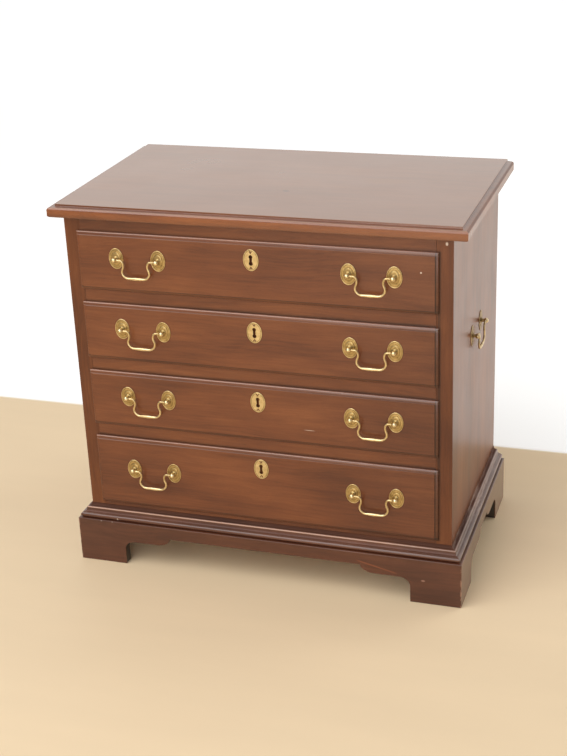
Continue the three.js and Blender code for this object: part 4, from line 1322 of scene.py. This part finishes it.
def post_polish(place):
    """Bright on the ball and the rims, dull on the flat of the plate, dirty in its grooves."""
    share = math.hypot(place.x / PLATE_WIDTH, place.y / PLATE_HEIGHT) * 2
    if place.z > 3.2:
        return min(1, 0.30 + (place.z - 3.2) * 0.16)
    if share < 0.45:
        return 0.3
    if 0.85 < share < 0.9 or 0.62 < share < 0.65:
        return 0.25
    return 0.65 if share > 0.92 else 0.45


def with_stem(post, name, wood_thickness):
    """A copy of the post with a stem and a nut for wood of that thickness."""
    copy = own_copy(post, name)
    nut_top = -wood_thickness - FIT_GAP
    nut_end = nut_top - NUT_HEIGHT
    grow(copy, [oval(1, FIT_GAP), round_ring(STEM_RADIUS, FIT_GAP),
                round_ring(STEM_RADIUS, nut_end - STEM_END)])
    nut = start_shape("nut", round_ring(NUT_RADIUS, nut_end)[0],
                      round_ring(NUT_RADIUS, nut_top)[1], sides=6)
    soften(nut, 0.0004)
    copy.select_set(True)
    bpy.context.view_layer.objects.active = copy
    bpy.ops.object.join()
    soften(copy, 0.00008)
    paint(copy, post_polish)
    return copy


low, high = corners("drawer_1_front")
front_post = with_stem(post, "front_post", high.y - low.y)
side_post = with_stem(post, "side_post", CASE_SIDE)
bpy.data.objects.remove(post)
print("posts:", len(front_post.data.polygons), "faces each")

# %% [markdown]
# The bail is a rod bent in a swan-neck: from a pin in the ball, a short thick knuckle, a thin
# neck that swings out, and a grip that swells in the middle. A Bezier curve bends like that,
# and its bevel gives it a round section. Each point of the curve has a radius of its own, in
# millimetres here, because the bevel is one millimetre deep.

# %% Bend the bail
ROUND_SHARE = 0.5523


def bail_points():
    """Half the bail, from its pin to mid grip: (place, handle before, handle after, radius)."""
    neck, flare, corner, drop = (23.2, -8.5), (26.2, -21.5), 14.5, -32.8
    bend = 28.7
    sway = (flare[1] - neck[1]) / 2
    straight = [(39.2, 1.3), (35.3, 1.3), (35.1, 2.2), (33.7, 2.5), (32.2, 2.3), (30.7, 2.05)]
    points = [((x, 0), (x + 0.05, 0), (x - 0.05, 0), radius) for x, radius in straight]
    points.append(((bend, 0), (bend + 0.3, 0), (bend - (bend - neck[0]) * ROUND_SHARE, 0), 1.95))
    points.append((neck, (neck[0], neck[1] * (1 - ROUND_SHARE)), (neck[0], neck[1] + sway), 1.9))
    points.append((flare, (flare[0], flare[1] - sway),
                   (flare[0], flare[1] + (drop - flare[1]) * ROUND_SHARE), 1.95))
    points.append(((corner, drop), (corner + (flare[0] - corner) * (1 - ROUND_SHARE), drop),
                   (corner - 2, drop), 2.2))
    points.append(((8, drop), (10, drop), (6, drop), 2.65))
    points.append(((0, drop), (3, drop), (-3, drop), 3.0))
    return points


half = bail_points()
other_half = [((-at[0], at[1]), (-after[0], after[1]), (-before[0], before[1]), radius)
              for at, before, after, radius in reversed(half[:-1])]
bpy.ops.object.select_all(action="DESELECT")
bpy.ops.curve.primitive_bezier_curve_add(location=(0, 0, 0))
bail = bpy.context.object
bail.name = "bail"
bail.data.dimensions = "3D"
spline = bail.data.splines[0]
spline.bezier_points.add(len(half) + len(other_half) - 2)
for point, (at, before, after, radius) in zip(spline.bezier_points, [*half, *other_half]):
    point.handle_left_type = point.handle_right_type = "FREE"
    point.co = millimetres(*at, PIVOT_REACH)
    point.handle_left = millimetres(*before, PIVOT_REACH)
    point.handle_right = millimetres(*after, PIVOT_REACH)
    point.radius = radius
bail.data.bevel_depth = 0.001
bail.data.bevel_resolution = 5
bail.data.resolution_u = 9
bail.data.use_fill_caps = True
only(bail)
bpy.ops.object.convert(target="MESH")
bail = bpy.context.object
with editing(bail):
    bpy.ops.mesh.remove_doubles(threshold=TINY)
    bpy.ops.mesh.normals_make_consistent(inside=False)
bpy.ops.object.shade_smooth_by_angle(angle=math.radians(40))
paint(bail, lambda place: min(1, 0.72 - place.y * 0.006))
print("bail:", len(bail.data.polygons), "faces")

# %% [markdown]
# The handles are copied to their places: two on each drawer front, turned up to stand on it,
# and one on each side of the case, turned a quarter further round.

# %% Put the handles in their places
BAIL_TOP_TO_PIN = 2.1


def settle_brass(source, node, body, matrix, brass=BRASS):
    """A copy of a brass piece at a place, which stands for a solid and rides on a body."""
    copy = own_copy(source, f"brass_{node}")
    copy.data.transform(matrix)
    settle(copy, body, brass, node)


def upright(place, turn=0):
    """What stands a piece that lies flat up on a face, at a place and a turn about Z."""
    turned = Matrix.Rotation(turn, 4, "Z") @ Matrix.Rotation(math.radians(90), 4, "X")
    return Matrix.Translation(place) @ turned


def put_handle(label, post, body, bail_body, matrix, post_names, brass):
    """Both posts and the bail of one handle."""
    for side, post_name in zip((-1, 1), post_names):
        shifted = matrix @ Matrix.Translation(millimetres(side * POST_SPACING / 2, 0, 0))
        settle_brass(post, f"{label}_post_{post_name}", body, shifted, brass)
    settle_brass(bail, f"{label}_bail", bail_body, matrix, brass)


for number in DRAWERS:
    low, high = corners(f"drawer_{number}_front")
    for side, x in zip(SIDES, HANDLE_PLACES):
        matrix = upright(millimetres(x, low.y, handle_height(number)))
        put_handle(f"drawer_{number}_{side}", front_post, f"drawer_{number}",
                   f"bail_{number}_{side}", matrix, SIDES, BRASS)
low, high = corners("side_right_bail")
for side, sign, names in (("left", -1, ("rear", "front")), ("right", 1, ("front", "rear"))):
    place = millimetres(sign * CASE_HALF, (low.y + high.y) / 2, high.z - BAIL_TOP_TO_PIN)
    put_handle(f"side_{side}", side_post, "case", f"bail_side_{side}",
               upright(place, sign * math.radians(90)), names, SHADED_SIDE_BRASS)
for source in (front_post, side_post, bail):
    bpy.data.objects.remove(source)
print("handles placed at heights", [round(handle_height(n), 1) for n in DRAWERS])

# %% [markdown]
# ## The escutcheons
#
# An escutcheon is a thin oval plate with a fine line sunk just inside its rim. It is pierced
# by a keyhole, and by a small trefoil above and below it. The plate is grown like the others,
# and the holes are cut with discs.

# %% Make and place the escutcheons
ESCUTCHEON_WIDTH, ESCUTCHEON_HEIGHT, ESCUTCHEON_EDGE = 28.5, 39.5, 0.75


def escutcheon_ring(inward, z):
    """A ring of the escutcheon, that far in from its rim."""
    return centred(ESCUTCHEON_WIDTH - 2 * inward, ESCUTCHEON_HEIGHT - 2 * inward, z)


escutcheon = start_shape("escutcheon", escutcheon_ring(0, FIT_GAP)[0],
                         escutcheon_ring(0, ESCUTCHEON_EDGE)[1], sides=64)
grow(escutcheon, [escutcheon_ring(*ring) for ring in (
    (0, ESCUTCHEON_EDGE), (0.25, 1.05), (0.6, 1.2), (1.5, 1.2), (1.7, 0.85), (2.2, 0.85),
    (2.4, 1.15))])
keyhole = [(0, 5.9, 3.5), (0, -6.2, 3.7)]
trefoils = [(x, sign * y, 1.3) for sign in (1, -1) for x, y in ((-1.6, 15.3), (1.6, 15.3),
                                                               (0, 13.2))]
cutters = [start_shape("hole", millimetres(x - radius, y - radius, -PAST),
                       millimetres(x + radius, y + radius, PAST), sides=20)
           for x, y, radius in (*keyhole, *trefoils)]
cutters.append(start_shape("slot", millimetres(-2.3, -6, -PAST), millimetres(2.3, 6, PAST)))
cut_away(escutcheon, cutters)
soften(escutcheon, 0.00012)
paint(escutcheon, lambda place: 0.15 if 0.3 < place.z < 0.9 else 0.78)
for number in DRAWERS:
    low, high = corners(f"drawer_{number}_front")
    matrix = upright(millimetres(0, low.y, high.z - ESCUTCHEON_DROP))
    settle_brass(escutcheon, f"drawer_{number}_escutcheon", f"drawer_{number}", matrix)
bpy.data.objects.remove(escutcheon)
print("escutcheons:", len(cutters), "cuts in each")
